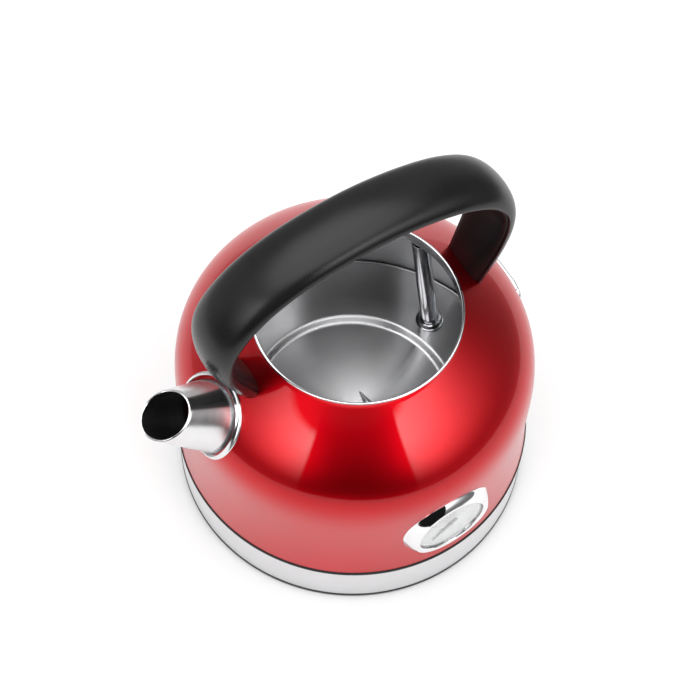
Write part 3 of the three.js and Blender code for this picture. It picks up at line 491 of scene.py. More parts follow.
def turned(name, corners, count=None, closed=True):
    # a filleted profile turned about the z axis
    grid = turnedGrid(filleted(corners, closed), count or shared["roundCount"]) * mm
    return surface(name, grid, wrapRows=closed, wrapColumns=True)


def moved(thing, matrix):
    thing.data.transform(matrix)
    thing.data.update()
    return thing


def scaledMove(x, y, z):
    return Matrix.Translation(Vector((x, y, z)) * mm)


def carve(thing, cutters, operation="DIFFERENCE"):
    # cuts or keeps what the cutters hold, then removes them
    for cutter in cutters:
        step = thing.modifiers.new("carve", "BOOLEAN")
        step.operation = operation
        step.solver = "EXACT"
        step.object = cutter
    bpy.context.view_layer.update()
    solid = bpy.data.meshes.new_from_object(thing.evaluated_get(bpy.context.evaluated_depsgraph_get()))
    thing.modifiers.clear()
    thing.data = solid
    for cutter in cutters:
        bpy.data.objects.remove(cutter)
    return thing


def joinPieces(thing, others):
    # adds the others to the mesh as separate shells
    work = bmesh.new()
    work.from_mesh(thing.data)
    for other in others:
        work.from_mesh(other.data)
        bpy.data.objects.remove(other)
    work.to_mesh(thing.data)
    work.free()
    return thing


def finishPiece(thing, body, paints, nodes, crease=32.0):
    # shades the piece, hangs it on its body and lets it stand for its CAD nodes
    for paint in paints:
        thing.data.materials.append(materials[paint])
    thing.data.shade_smooth()
    thing.data.set_sharp_from_angle(angle=math.radians(crease))
    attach(thing, body)
    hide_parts(*nodes)


# ---- the dome's surface


def domeCurve(t):
    # the cubic Bezier curve of the outline, as (radius, height), with its tangent
    start = np.array([shared["seamRadius"], shared["seamHeight"]])
    end = np.array([shared["mouthRadius"], shared["mouthHeight"]])
    first = start + np.array(shared["climb"])
    second = end + np.array(shared["shoulder"])
    t = np.asarray(t, float)[..., None]
    rest = 1 - t
    point = rest ** 3 * start + 3 * t * rest ** 2 * first + 3 * t * t * rest * second + t ** 3 * end
    tangent = 3 * rest ** 2 * (first - start) + 6 * t * rest * (second - first) + 3 * t * t * (end - second)
    return point, tangent / np.linalg.norm(tangent, axis=-1, keepdims=True)


domeTable, domeTangents = domeCurve(np.linspace(-0.2, 1.0, 2401))


def domeOffset(offset, low=0.0, count=88):
    # the outline moved outwards along its normal
    point, tangent = domeCurve(np.linspace(low, 1.0, count))
    return point + np.stack([tangent[:, 1], -tangent[:, 0]], -1) * offset


def domeRadius(height):
    return np.interp(height, domeTable[:, 1], domeTable[:, 0])


def domeNormal(points):
    # the way out of the wall at points on the dome
    radius = np.hypot(points[..., 0], points[..., 1])
    lean = np.interp(points[..., 2], domeTable[:, 1], domeTangents[:, 1])
    rise = -np.interp(points[..., 2], domeTable[:, 1], domeTangents[:, 0])
    return np.stack([points[..., 0] / radius * lean, points[..., 1] / radius * lean, rise], -1)


def ontoDome(start, direction, reach=60.0):
    # slides points back along a direction until they meet the dome, by halving the interval
    outside = np.zeros(start.shape[:-1])
    inside = outside + reach
    for _ in range(40):
        middle = (outside + inside) / 2
        test = start - direction * middle[..., None]
        within = np.hypot(test[..., 0], test[..., 1]) < domeRadius(test[..., 2])
        inside = np.where(within, middle, inside)
        outside = np.where(within, outside, middle)
    return start - direction * inside[..., None]


def domeBlock(name, offset):
    # the space inside the outline moved by an offset, as a closed cutter
    outline = domeOffset(offset, -0.05)
    profile = np.concatenate([[[0.0, outline[0, 1]]], outline, [[0.0, outline[-1, 1]]]])
    return surface(name, turnedGrid(profile, shared["roundCount"]) * mm, wrapColumns=True)


def rodBetween(name, start, end, radius, count=48):
    # a round bar between two points in millimetres
    start, end = Vector(start), Vector(end)
    length = (end - start).length
    bar = turned(name, [(0, 0), (radius, 0), (radius, length), (0, length)], count, closed=False)
    turn = (end - start).to_track_quat("Z", "Y").to_matrix().to_4x4()
    return moved(bar, Matrix.Translation(start * mm) @ turn)


def boxBetween(name, low, high):
    # a block between two corners in millimetres
    corners = np.array([
        [x, y, z] for x in (low[0], high[0]) for y in (low[1], high[1]) for z in (low[2], high[2])])
    faces = np.array([[0, 1, 3, 2], [4, 6, 7, 5], [0, 4, 5, 1], [2, 3, 7, 6], [0, 2, 6, 4], [1, 5, 7, 3]])
    block = buildMesh(name, corners * mm, faces)
    tidyMesh(block)
    return block


def uprightBars(circle, angles, low, high, radius):
    # the same upright round bar at each angle on a circle
    return [rodBetween("bar", onCircle(circle, angle, low), onCircle(circle, angle, high), radius)
            for angle in angles]


def onCircle(radius, degrees, height):
    return (radius * math.cos(math.radians(degrees)), radius * math.sin(math.radians(degrees)), height)


# ---- body

body = {
    "bottom": 28.9,
    "rimRoll": 0.42,                # radius of the rolled edge at the mouth
    "spoutHole": 14.6,
    "spoutCut": (-16.0, 14.0),      # where that hole's cutter starts and ends along the spout's axis
    "gaugeHole": 14.8,
    "gaugeCut": (6.0, 14.0),        # how far that cutter reaches outside and inside the wall
    "windowHole": (8.0, 45.7, 84.3),
    "windowCut": (60.0, 95.0),
}


def spoutFrame():
    # the spout's axis as local z, with its base at the origin
    turn = Matrix.Rotation(math.radians(shared["spoutRise"]) - math.pi / 2, 4, "Y")
    return Matrix.Translation(Vector(shared["spoutBase"]) * mm) @ turn


def domeShell():
    # outer and inner offsets of the outline, joined by a round edge at the mouth and a flat one at the seam
    bottom = body["bottom"]
    outer = domeOffset(0.0)
    outer = outer[outer[:, 1] > bottom]
    inner = domeOffset(-shared["wall"])
    inner = inner[inner[:, 1] > bottom]
    edge = (outer[-1] + inner[-1]) / 2
    lift = outer[-1] - outer[-2]
    lift = lift / np.linalg.norm(lift)
    across = (outer[-1] - inner[-1]) / 2
    turn = np.linspace(0, np.pi, 9)[1:-1, None]
    roll = edge + across * np.cos(turn) + lift * body["rimRoll"] * np.sin(turn)
    hem = float(domeRadius(bottom))
    profile = np.concatenate([[[hem, bottom]], outer, roll, inner[::-1], [[hem - shared["wall"], bottom]]])
    marks = np.where(np.arange(len(profile)) < 1 + len(outer) + len(roll) // 2, 0, 1)
    grid = turnedGrid(profile, shared["roundCount"]) * mm
    shell = surface("domeShell", grid, True, True, marks, ["lacquer", "wall"])
    start, end = body["spoutCut"]
    bore = body["spoutHole"]
    spoutCutter = turned("cut", [(0, start), (bore, start), (bore, end), (0, end)], 64, closed=False)
    moved(spoutCutter, spoutFrame())
    wall, height = float(domeRadius(shared["gaugeHeight"])), shared["gaugeHeight"]
    outside, inside = body["gaugeCut"]
    gaugeCutter = rodBetween(
        "cut", (0, -wall - outside, height), (0, -wall + inside, height), body["gaugeHole"])
    half, low, high = body["windowHole"]
    start, end = body["windowCut"]
    carve(shell, [spoutCutter, gaugeCutter, boxBetween("cut", (start, -half, low), (end, half, high))])
    finishPiece(shell, "kettle", [], ["dome_body"])


mouth = {
    "inner": 46.3, "neck": 46.9, "lip": 47.5,
    "depth": 5.8, "seat": 0.25, "lipRise": 0.55, "hem": 0.3,
}


def mouthCollar():
    # a turned-in neck with a rounded lip that covers the body's edge
    low = shared["mouthHeight"] - mouth["depth"]
    seat = shared["mouthHeight"] + mouth["seat"]
    top = seat + mouth["lipRise"]
    ring = turned("mouthCollar", [
        (mouth["inner"] + 0.2, low, 0.15), (mouth["neck"], low, 0.15), (mouth["neck"], seat, 0.1),
        (mouth["lip"], seat, 0.3), (mouth["lip"] - 0.1, top, 0.55), (mouth["inner"], top, mouth["hem"])])
    finishPiece(ring, "kettle", ["tube"], ["mouth_ring"])


floorPlate = {
    "height": 35.5, "sheet": 1.0, "drop": 2.4, "stepOuter": 50.5, "stepInner": 47.5,
    "edge": 82.8, "flange": 4.0, "groove": 0.6, "grooveWidth": 1.4,
    "discRings": (10, 22, 34), "ledgeRings": (62, 74),              # radii that only divide the flats
    "tubeGap": 0.1, "tubeCut": (30.0, 40.0),
    "postRadius": 3.2, "postBore": 1.8, "postDepth": 9.4, "postGap": 0.02,
}


def kettleFloor():
    # a flat ring, a sloped step and a lower flat disc, with a groove against the wall
    high, low = floorPlate["height"], floorPlate["height"] - floorPlate["drop"]
    sheet, edge = floorPlate["sheet"], floorPlate["edge"]
    stepOut, stepIn = floorPlate["stepOuter"], floorPlate["stepInner"]
    hem = high - floorPlate["flange"]
    disc = [(radius, low) for radius in floorPlate["discRings"]]
    ledge = [(radius, high) for radius in floorPlate["ledgeRings"]]
    plate = turned("kettleFloor", [
        (0, low), *disc, (stepIn, low, 1.2), (stepOut, high, 1.2), *ledge,
        (edge - floorPlate["grooveWidth"], high, 0.3), (edge - 0.9, high - floorPlate["groove"], 0.2),
        (edge, high - 0.1, 0.1), (edge, hem, 0.2), (edge - sheet, hem, 0.2),
        (edge - sheet, high - sheet, 0.8), (stepOut, high - sheet, 0.8),
        (stepIn, low - sheet, 0.8), (0, low - sheet)], closed=False)
    x, y, _ = tubePoint(high)
    start, end = floorPlate["tubeCut"]
    carve(plate, [rodBetween("cut", (x, y, start), (x, y, end), steam["radius"] + floorPlate["tubeGap"])])
    joinPieces(plate, [postUnderFloor(angle) for angle in shared["screwAngles"]])
    finishPiece(plate, "kettle", ["floor"], ["kettle_floor"])


def postUnderFloor(angle):
    # a welded stud with a blind thread
    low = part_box("kettle_floor")[0].z / mm
    high = floorPlate["height"] - floorPlate["sheet"] - floorPlate["postGap"]
    outer, bore, blind = floorPlate["postRadius"], floorPlate["postBore"], low + floorPlate["postDepth"]
    post = turned("post", [
        (bore, low, 0.2), (outer, low, 0.4), (outer, high), (0, high), (0, blind), (bore, blind)], 32)
    return moved(post, scaledMove(*onCircle(shared["screwPitch"], angle, 0)))


# ---- base

base = {
    "radius": 85.0,
    "bandLow": 2.9, "bandHigh": 26.2, "bandWall": 0.9, "bandRound": 0.3,
    "sealLow": 26.45, "sealHigh": 28.75, "sealRadius": 85.25, "sealDepth": 2.6, "sealRound": 0.7,
    "rimLow": 0.6, "rimHigh": 2.65, "rimRadius": 85.25,
    "slot": (11.0, 6.5, 21.0),      # half width, lowest and highest
    "slotCut": (75.0, 95.0),
}


def hoop(name, inner, outer, low, high, fillet):
    # an upright ring whose two outer edges are rounded
    return turned(name, [(inner, low), (outer, low, fillet), (outer, high, fillet), (inner, high)])


def bodySeal():
    outer = base["sealRadius"]
    ring = hoop(
        "bodySeal", outer - base["sealDepth"], outer, base["sealLow"], base["sealHigh"], base["sealRound"])
    finishPiece(ring, "kettle", ["rubber"], ["body_seal"])


def baseBand():
    # a steel hoop with a slot for the switch
    outer = base["radius"]
    ring = hoop(
        "baseBand", outer - base["bandWall"], outer, base["bandLow"], base["bandHigh"], base["bandRound"])
    half, low, high = base["slot"]
    start, end = base["slotCut"]
    carve(ring, [boxBetween("cut", (start, -half, low), (end, half, high))])
    finishPiece(ring, "kettle", ["band"], ["base_band"])


cover = {
    "well": 21.6, "wellWall": 1.5, "thick": 2.0, "upstand": 83.6, "upstandWall": 1.9, "wallTop": 10.0,
    "drain": (3.0, 5.0), "drainSlope": 0.4, "drainDepth": 0.5,      # a groove round the connector's well
    "postRadius": 4.8, "postSink": 0.5, "headRadius": 3.5, "headSeat": 2.9,
    "shaftRadius": 1.8, "shaftCut": (1, 20),
    "footPitch": 72.0, "footAngles": (0, 120, 240), "footRadius": 6.3, "footPocket": 1.9,
    "below": -2,                    # where the cutters start under the pan
    "notch": ((76, 5.5), (90, 30)),
}


def baseCover():
    # a moulded pan: rim, floor, upstand, connector well, screw posts, foot pockets and a drain groove
    low, top, wallTop = base["rimLow"], base["rimLow"] + cover["thick"], cover["wallTop"]
    well, wellOuter = cover["well"], cover["well"] + cover["wellWall"]
    rim, rimTop = base["rimRadius"], base["rimHigh"]
    upstand, upstandIn = cover["upstand"], cover["upstand"] - cover["upstandWall"]
    start, end = (wellOuter + reach for reach in cover["drain"])
    slope, depth = cover["drainSlope"], cover["drainDepth"]
    pan = turned("baseCover", [
        (well, low, 0.5), (start, low, 0.3), (start + slope, low + depth, 0.2),
        (end - slope, low + depth, 0.2), (end, low, 0.3), (rim, low, 0.8), (rim, rimTop, 0.4),
        (upstand, rimTop), (upstand, wallTop, 0.4),
        (upstandIn, wallTop, 0.4), (upstandIn, top, 0.5), (wellOuter, top, 0.5), (wellOuter, wallTop, 0.3),
        (well, wallTop, 0.3)])
    pitch, angles, below = shared["screwPitch"], shared["screwAngles"], cover["below"]
    joinPieces(pan, uprightBars(pitch, angles, top - cover["postSink"], wallTop, cover["postRadius"]))
    cutters = uprightBars(pitch, angles, below, cover["headSeat"], cover["headRadius"])
    cutters += uprightBars(pitch, angles, *cover["shaftCut"], cover["shaftRadius"])
    cutters += uprightBars(
        cover["footPitch"], cover["footAngles"], below, cover["footPocket"], cover["footRadius"])
    half = base["slot"][0]
    (inside, notchLow), (outside, notchHigh) = cover["notch"]
    cutters.append(boxBetween("cut", (inside, -half, notchLow), (outside, half, notchHigh)))
    carve(pan, cutters)
    finishPiece(pan, "kettle", ["plastic"], ["base_cover"])


rubber = {"radius": 6.0, "height": 1.6, "dish": 3.6, "dishRim": 4.3, "dishDepth": 0.25}


def rubberFeet():
    # a disc with a rounded edge and a shallow dish underneath
    edge, height, depth = rubber["radius"], rubber["height"], rubber["dishDepth"]
    for number, angle in enumerate(cover["footAngles"], 1):
        foot = turned(f"foot{number}", [
            (0, depth), (rubber["dish"], depth, 0.6), (rubber["dishRim"], 0.0, 0.3), (edge, 0.0, 0.5),
            (edge, height, 0.2), (0, height)], 64, closed=False)
        moved(foot, scaledMove(*onCircle(cover["footPitch"], angle, 0)))
        finishPiece(foot, "kettle", ["rubber"], [f"foot_{number}"])


screws = {
    "face": 2.6, "head": 3.2, "headRise": 1.5, "neck": 1.3,
    "core": 1.15, "crest": 0.35, "pitch": 0.45, "threadFrom": 3.4, "threadRoom": 3.8,
    "cross": (1.7, 0.35, 0.9),      # half length, half width and depth of each slot of the recess
}


def baseScrews():
    # a pan head with a cross recess and a turned thread
    long, wide, deep = screws["cross"]
    for number, angle in enumerate(shared["screwAngles"], 1):
        lowest, highest = (corner.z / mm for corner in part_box(f"base_screw_{number}"))
        seat = lowest + screws["headRise"]
        threads = [(screws["core"] + screws["crest"] * (i % 2), screws["threadFrom"] + screws["pitch"] * i)
                   for i in range(int((highest - screws["threadRoom"]) / screws["pitch"]))]
        screw = turned(f"baseScrew{number}", [
            (0, lowest), (screws["face"], lowest, 0.4), (screws["head"], lowest + 0.7, 0.3),
            (screws["head"], seat, 0.1), (screws["neck"], seat), *threads, (0, highest)], 40, closed=False)
        slots = ((long, wide), (wide, long))
        carve(screw, [boxBetween("cut", (-x, -y, -1), (x, y, lowest + deep)) for x, y in slots])
        moved(screw, scaledMove(*onCircle(shared["screwPitch"], angle, 0)))
        finishPiece(screw, "kettle", ["zinc"], [f"base_screw_{number}"])


# ---- steam tube

steam = {
    "foot": (58.09, 21.37), "lean": (-0.105, 0.06), "radius": 4.25, "wall": 0.6, "low": 19.0, "high": 108.0,
    "collar": 7.0, "collarRise": 3.0, "collarFit": 0.05, "collarSeat": 0.12, "washer": 0.9,
}


def tubePoint(height):
    # the tube's axis, which leans a little as it climbs
    climb = height - floorPlate["height"]
    x, y = (start + lean * climb for start, lean in zip(steam["foot"], steam["lean"]))
    return x, y, height


def tubeFrame(height):
    # local z runs up the tube from the point at a height
    start, end = Vector(tubePoint(height)), Vector(tubePoint(height + 10))
    turn = (end - start).to_track_quat("Z", "Y").to_matrix().to_4x4()
    return Matrix.Translation(start * mm) @ turn


def steamTube():
    # an open pipe with a rounded upper edge and one row of points halfway
    length = (Vector(tubePoint(steam["high"])) - Vector(tubePoint(steam["low"]))).length
    outer, inner = steam["radius"], steam["radius"] - steam["wall"]
    tube = turned("steamTube", [
        (inner, 0), (outer, 0), (outer, length * 0.5), (outer, length, 0.25), (inner, length, 0.25),
        (inner, length * 0.5)], 72)
    moved(tube, tubeFrame(steam["low"]))
    finishPiece(tube, "kettle", ["tube"], ["steam_tube"])


def steamCollar():
    # a flat washer with a domed nut that closes round the tube
    bore, edge = steam["radius"] + steam["collarFit"], steam["collar"]
    washer, rise = steam["washer"], steam["collarRise"]
    ring = turned("steamCollar", [
        (bore, 0.0), (edge, 0.0, 0.2), (edge, washer, 0.4), (edge - 0.7, washer + 0.2, 0.2),
        (edge - 1.1, rise - 0.5, 0.6), (bore + 0.6, rise, 0.3), (bore, rise - 0.3, 0.2)], 96)
    moved(ring, tubeFrame(floorPlate["height"] + steam["collarSeat"]))
    finishPiece(ring, "kettle", ["tube"], ["steam_tube_collar"])


# ---- spout

spout = {
    "baseRadius": 17.4, "mouthRadius": 11.05, "length": 33.5, "cut": 24.3, "wall": 0.9,
    "rimRound": 0.35, "clear": 0.15,
    "flange": 19.6, "flangeRise": 1.15, "fillet": 1.1, "seat": 0.02, "fit": 0.1,
    "reach": 25.0,                  # how far along the axis the dome's surface is looked for
    "count": 160, "rows": 26,
}


def spoutAxes():
    # the base, and the directions along, above and beside the axis
    rise = math.radians(shared["spoutRise"])
    along = np.array([-math.cos(rise), 0.0, math.sin(rise)])
    side = np.array([0.0, 1.0, 0.0])
    return np.array(shared["spoutBase"]), along, np.cross(side, along), side


def spoutRadius(s):
    return spout["baseRadius"] + (spout["mouthRadius"] - spout["baseRadius"]) * s / spout["length"]


def mouthPlane(turn, inset, back):
    # how far along the axis the slanted mouth plane meets the cone, at each angle
    cut = math.radians(spout["cut"])
    slope = (spout["mouthRadius"] - spout["baseRadius"]) / spout["length"]
    bare = spout["baseRadius"] - inset
    return (spout["length"] * math.cos(cut) - back - bare * np.cos(turn) * math.sin(cut)) / (
        math.cos(cut) + slope * np.cos(turn) * math.sin(cut))


def spoutPoints(turn, s, inset):
    # points on the cone, at an angle and a distance along the axis
    origin, along, up, side = spoutAxes()
    radius = (spoutRadius(s) - inset)[..., None]
    ring = np.cos(turn)[..., None] * up + np.sin(turn)[..., None] * side
    return origin + s[..., None] * along + radius * ring


def coneStart(turn, inset):
    # where the cone meets the dome, by halving the distance along the axis
    outside, inside = np.full(turn.shape, spout["reach"]), np.full(turn.shape, -spout["reach"])
    for _ in range(36):
        middle = (outside + inside) / 2
        test = spoutPoints(turn, middle, inset)
        within = np.hypot(test[..., 0], test[..., 1]) < domeRadius(test[..., 2])
        inside = np.where(within, middle, inside)
        outside = np.where(within, outside, middle)
    return outside


def spoutTube():
    # the cone's skin from inside the flange to the slanted mouth, over a rounded rim and back down inside
    turn = np.linspace(0, 2 * np.pi, spout["count"], endpoint=False)
    wall, rim = spout["wall"], spout["rimRound"]
    start = coneStart(turn, 0.0) + spout["clear"]
    outerEnd = mouthPlane(turn, 0.0, rim)
    innerEnd = mouthPlane(turn, wall, rim)
    innerStart = coneStart(turn, wall) + spout["clear"]
    shares = np.linspace(0, 1, spout["rows"])
    rows = [spoutPoints(turn, start + (outerEnd - start) * share, 0.0) for share in shares]
    for share in (0.25, 0.5, 0.75):
        back = rim - rim * math.sin(math.pi * share)
        rows.append(spoutPoints(turn, mouthPlane(turn, wall * share, back), wall * share))
    outside = len(rows)
    rows += [spoutPoints(turn, innerEnd + (innerStart - innerEnd) * share, wall) for share in shares]
    # the inside rows take the near-black steel, painted shade for the hollow spout
    marks = [0] * outside + [1] * (len(rows) - outside)
    tube = surface("spoutTube", np.stack(rows) * mm, True, True, marks, ["spout", "paintedShadeThroat"])
    finishPiece(tube, "kettle", [], ["spout_tube"])


def spoutFlange():
    # a ring pressed onto the dome: flat land, round outer edge and a fillet that climbs the cone
    turn = np.linspace(0, 2 * np.pi, spout["count"], endpoint=False)
    origin, along, up, side = spoutAxes()
    rise, fillet, edge = spout["flangeRise"], spout["fillet"], spout["flange"]
    inner, seat = spout["baseRadius"] + spout["fit"], spout["seat"]
    section = filleted([
        (inner, seat), (edge, seat, 0.1), (edge - 0.1, rise, 0.9),
        (spout["baseRadius"] + fillet, rise, 0.8), (inner, rise + fillet, 0.15)], steps=7)
    ring = np.cos(turn)[:, None] * up + np.sin(turn)[:, None] * side
    rows = []
    for radius, height in section:
        onWall = ontoDome(origin + along * spout["reach"] + ring * radius, along)
        rows.append(onWall + domeNormal(onWall) * height)
    flange = surface("spoutFlange", np.stack(rows) * mm, wrapRows=True, wrapColumns=True)
    finishPiece(flange, "kettle", ["spout"], ["spout_flange"], 50.0)


# ---- thermometer

gauge = {
    "radius": 22.7, "front": 19.5, "proud": 2.9, "skirt": 2.2, "edge": 0.15, "window": 16.9, "lip": 0.55,
    "dial": 19.0, "dialHole": 1.0, "dialSeat": 0.02, "dialThick": 0.3, "ringInner": 15.2,
    "glass": 16.6, "probe": 2.0, "probeBore": 1.0, "probeWall": 9.0,
}


def gaugeGrid(profile, count):
    # a profile (radius, distance out) turned about the gauge's axis
    turn = np.linspace(0, 2 * np.pi, count, endpoint=False)
    radius, out = profile[:, :1], profile[:, 1:2]
    height = shared["gaugeHeight"] + radius * np.sin(turn)
    return np.stack([radius * np.cos(turn), -(out + 0 * turn), height], -1)


def gaugeBezel():
    # each row lies a share of the way from the dome's wall to the flat front, less a drop; the slope
    # between them follows the wall at its outer edge, and the front ends in a rolled inner lip
    front = float(domeRadius(shared["gaugeHeight"])) + gauge["proud"]
    outer, edge, hole = gauge["radius"], gauge["edge"], gauge["window"]
    width = outer - edge - gauge["front"]
    rows = [(outer - gauge["skirt"], 0, 1.0), (outer, 0, 1.0), (outer, 0, -edge)]
    rows += [(outer - edge - width * s, 0.04 + 0.95 * s + 0.06 * math.sin(math.pi * s), -edge * (1 - s))
             for s in np.linspace(0.0, 1.0, 14)]
    rows += [(gauge["front"] - 0.35, 1.0, 0.0), (hole + 0.5, 1.0, 0.0), (hole + 0.2, 1.0, 0.08),
             (hole, 1.0, 0.3), (hole, 1.0, gauge["lip"]), (hole + 1.2, 1.0, 0.9)]
    radius, share, drop = np.array(rows).T[:, :, None]
    turn = np.linspace(0, 2 * np.pi, 128, endpoint=False)
    x = radius * np.cos(turn)
    z = shared["gaugeHeight"] + radius * np.sin(turn)
    wall = np.sqrt(domeRadius(z) ** 2 - x ** 2)
    y = -(share * front + (1 - share) * wall) + drop
    bezel = surface("gaugeBezel", np.stack([x, y, z], -1) * mm, wrapRows=True, wrapColumns=True)
    finishPiece(bezel, "kettle", ["polished"], ["gauge_bezel"], 28.0)


def gaugeFace():
    # the dial with a raised satin ring round it
    back = -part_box("gauge_dial")[1].y / mm
    seat, face = back + gauge["dialSeat"], back + gauge["dialThick"]
    profile = filleted([
        (gauge["dialHole"], seat), (gauge["dial"], seat), (gauge["dial"], face),
        (gauge["window"] - 0.1, back + 0.5, 0.3), (gauge["ringInner"] + 0.4, back + 0.55, 0.2),
        (gauge["ringInner"], face, 0.1), (gauge["dialHole"], face)], steps=4)
    dial = surface("gaugeDial", gaugeGrid(profile, 96) * mm, wrapRows=True, wrapColumns=True)
    finishPiece(dial, "kettle", ["dial"], ["gauge_dial"])


def gaugePane():
    # a clear disc with a softened edge
    low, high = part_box("gauge_glass")
    back, front, edge = -high.y / mm, -low.y / mm, gauge["glass"]
    corners = [(0, back), (edge, back, 0.1), (edge, front, 0.1), (0, front)]
    profile = filleted(corners, closed=False, steps=3)
    pane = surface("gaugePane", gaugeGrid(profile, 96) * mm, wrapColumns=True)
    finishPiece(pane, "kettle", ["glass"], ["gauge_glass"])


def gaugeStem():
    # a thin hollow probe with a drawn point
    low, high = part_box("gauge_stem")
    tip, end = -high.y / mm, -low.y / mm
    outer, bore, blind = gauge["probe"], gauge["probeBore"], tip + gauge["probeWall"]
    profile = filleted([
        (0, tip), (0.5, tip + 0.6, 0.3), (1.1, tip + 3.5, 1.0), (outer, tip + 7.5, 1.0), (outer, end, 0.2),
        (bore, end, 0.2), (bore, blind), (0, blind)], closed=False, steps=4)
    probe = surface("gaugeStem", gaugeGrid(profile, 48) * mm, wrapColumns=True)
    finishPiece(probe, "kettle", ["tube"], ["gauge_stem"])


def roundedRectangle(half, low, high, corner, count):
    # four quarter circles in y and z, joined by straight sides
    turn = np.linspace(0, np.pi / 2, count // 4, endpoint=False)
    middle, tall = (low + high) / 2, (high - low) / 2
    arcs = []
    for quarter, (signY, signZ) in enumerate([(1, 1), (-1, 1), (-1, -1), (1, -1)]):
        angle = turn + quarter * np.pi / 2
        arcs.append(np.stack([
            signY * (half - corner) + corner * np.cos(angle),
            middle + signZ * (tall - corner) + corner * np.sin(angle)], -1))
    return np.concatenate(arcs)


# ---- water window

window = {
    "half": 7.6, "low": 46.0, "high": 84.0, "corner": 3.0, "leastCorner": 0.5, "cornerGrowth": 0.8,
    "frame": 6.8, "rise": 2.6, "glassRise": 1.3, "glassBack": -1.0,
    # the lens, from its middle line to its edge: distance in from the outline and height over the edge
    "crown": [(7.58, 0.5), (7.0, 0.5), (4.5, 0.42), (2.0, 0.2), (0.3, 0.0)],
}


def windowPath(grow):
    # the window's outline moved outwards; its corners follow in part
    half = window["half"] + grow
    corner = min(max(window["corner"] + grow * window["cornerGrowth"], window["leastCorner"]), half)
    return roundedRectangle(half, window["low"] - grow, window["high"] + grow, corner, 160)


def onBack(path, height):
    # puts y, z pairs on the back of the dome and lifts them along its normal
    y, z = path[:, 0], path[:, 1]
    wall = np.stack([np.sqrt(domeRadius(z) ** 2 - y ** 2), y, z], -1)
    return wall + domeNormal(wall) * height


def windowSet():
    # a frame of one section, and a lens that is highest along its middle; both follow the wall
    rise, width = window["rise"], window["frame"]
    section = filleted([
        (width, 0.03), (width - 0.1, rise * 0.55, 0.6), (width * 0.72, rise, 0.8), (0.7, rise, 0.5),
        (0.0, 0.03)], steps=6)
    rows = np.stack([onBack(windowPath(grow), height) for grow, height in section])
    frameRing = surface("windowFrame", rows * mm, wrapRows=True, wrapColumns=True)
    finishPiece(frameRing, "kettle", ["polished"], ["window_frame"], 40.0)
    face = [(-inset, window["glassRise"] + lift) for inset, lift in window["crown"]]
    back = [(-inset, window["glassBack"]) for inset, lift in window["crown"]]
    rows = np.stack([onBack(windowPath(grow), height) for grow, height in face + back[::-1]])
    lens = surface("windowLens", rows * mm, wrapColumns=True)
    finishPiece(lens, "kettle", ["lens"], ["window_glass"], 40.0)


# ---- handle

handle = {
    "top": 199.0, "frontReach": 70.0, "rearReach": 67.0, "frontFoot": 56.6, "rearFoot": 57.0,
    # each leg climbs from foot to reach, by shares of that way and of the rise
    "frontLeg": [(-0.1, -0.07), (0.4, 0.13), (0.78, 0.28)],
    "rearLeg": [(-0.1, -0.04), (0.3, 0.1), (0.74, 0.27)],
    # each half arch goes on from there to the top, by shares of the reach and of the rise
    "frontArch": [(1, 0.43), (0.985, 0.58), (0.89, 0.72), (0.715, 0.85), (0.48, 0.94), (0.22, 0.985)],
    "rearArch": [(1, 0.48), (0.975, 0.635), (0.86, 0.78), (0.65, 0.895), (0.38, 0.965), (0.06, 0.998)],
    "half": 15.1, "frontHalf": 10.2, "rearHalf": 11.8, "taper": 0.22,
    "depth": 7.4, "square": 2.1, "wall": 2.0,
    "coverDepth": 3.4, "coverBase": 0.6, "coverInset": 0.95, "clear": 0.06, "steps": 132,
}


def handleHalf(side):
    # one side of the arch as (distance from the axis, height), from its foot to the top
    foot, reach = handle[side + "Foot"], handle[side + "Reach"]
    upper = domeTable[len(domeTable) // 2:][::-1]       # where the outline only closes in
    start = np.interp(foot, upper[:, 0], upper[:, 1])
    leg = [(foot + s * (reach - foot), share) for s, share in handle[side + "Leg"]]
    arch = [(reach * s, share) for s, share in handle[side + "Arch"]]
    return np.array([(x, start + share * (handle["top"] - start)) for x, share in leg + arch])


def handleKnots():
    # the arch's side view as (x, z), from the spout's side over the top to the rear
    return np.concatenate([handleHalf("front") * [-1, 1], handleHalf("rear")[::-1]])


def throughPoints(knots, count):
    # a centripetal Catmull-Rom curve through the knots, evenly spaced by length
    ends = np.vstack([2 * knots[0] - knots[1], knots, 2 * knots[-1] - knots[-2]])
    step = np.linalg.norm(np.diff(ends, axis=0), axis=1) ** 0.5
    before, along, after = step[:-2, None], step[1:-1, None], step[2:, None]
    p0, p1, p2, p3 = ends[:-3], ends[1:-2], ends[2:-1], ends[3:]
    startPull = ((p1 - p0) / before - (p2 - p0) / (before + along) + (p2 - p1) / along) * along
    endPull = ((p2 - p1) / along - (p3 - p1) / (along + after) + (p3 - p2) / after) * along
    t = np.linspace(0, 1, 60, endpoint=False)[None, :, None]
    a, b, c, d = (v[:, None, :] for v in (p1, p2, startPull, endPull))
    curve = (2 * a - 2 * b + c + d) * t ** 3 + (-3 * a + 3 * b - 2 * c - d) * t ** 2 + c * t + a
    curve = np.vstack([curve.reshape(-1, 2), knots[-1:]])
    travel = np.concatenate([[0], np.cumsum(np.linalg.norm(np.diff(curve, axis=0), axis=1))])
    even = np.linspace(0, travel[-1], count)
    return np.stack([np.interp(even, travel, curve[:, 0]), np.interp(even, travel, curve[:, 1])], -1)


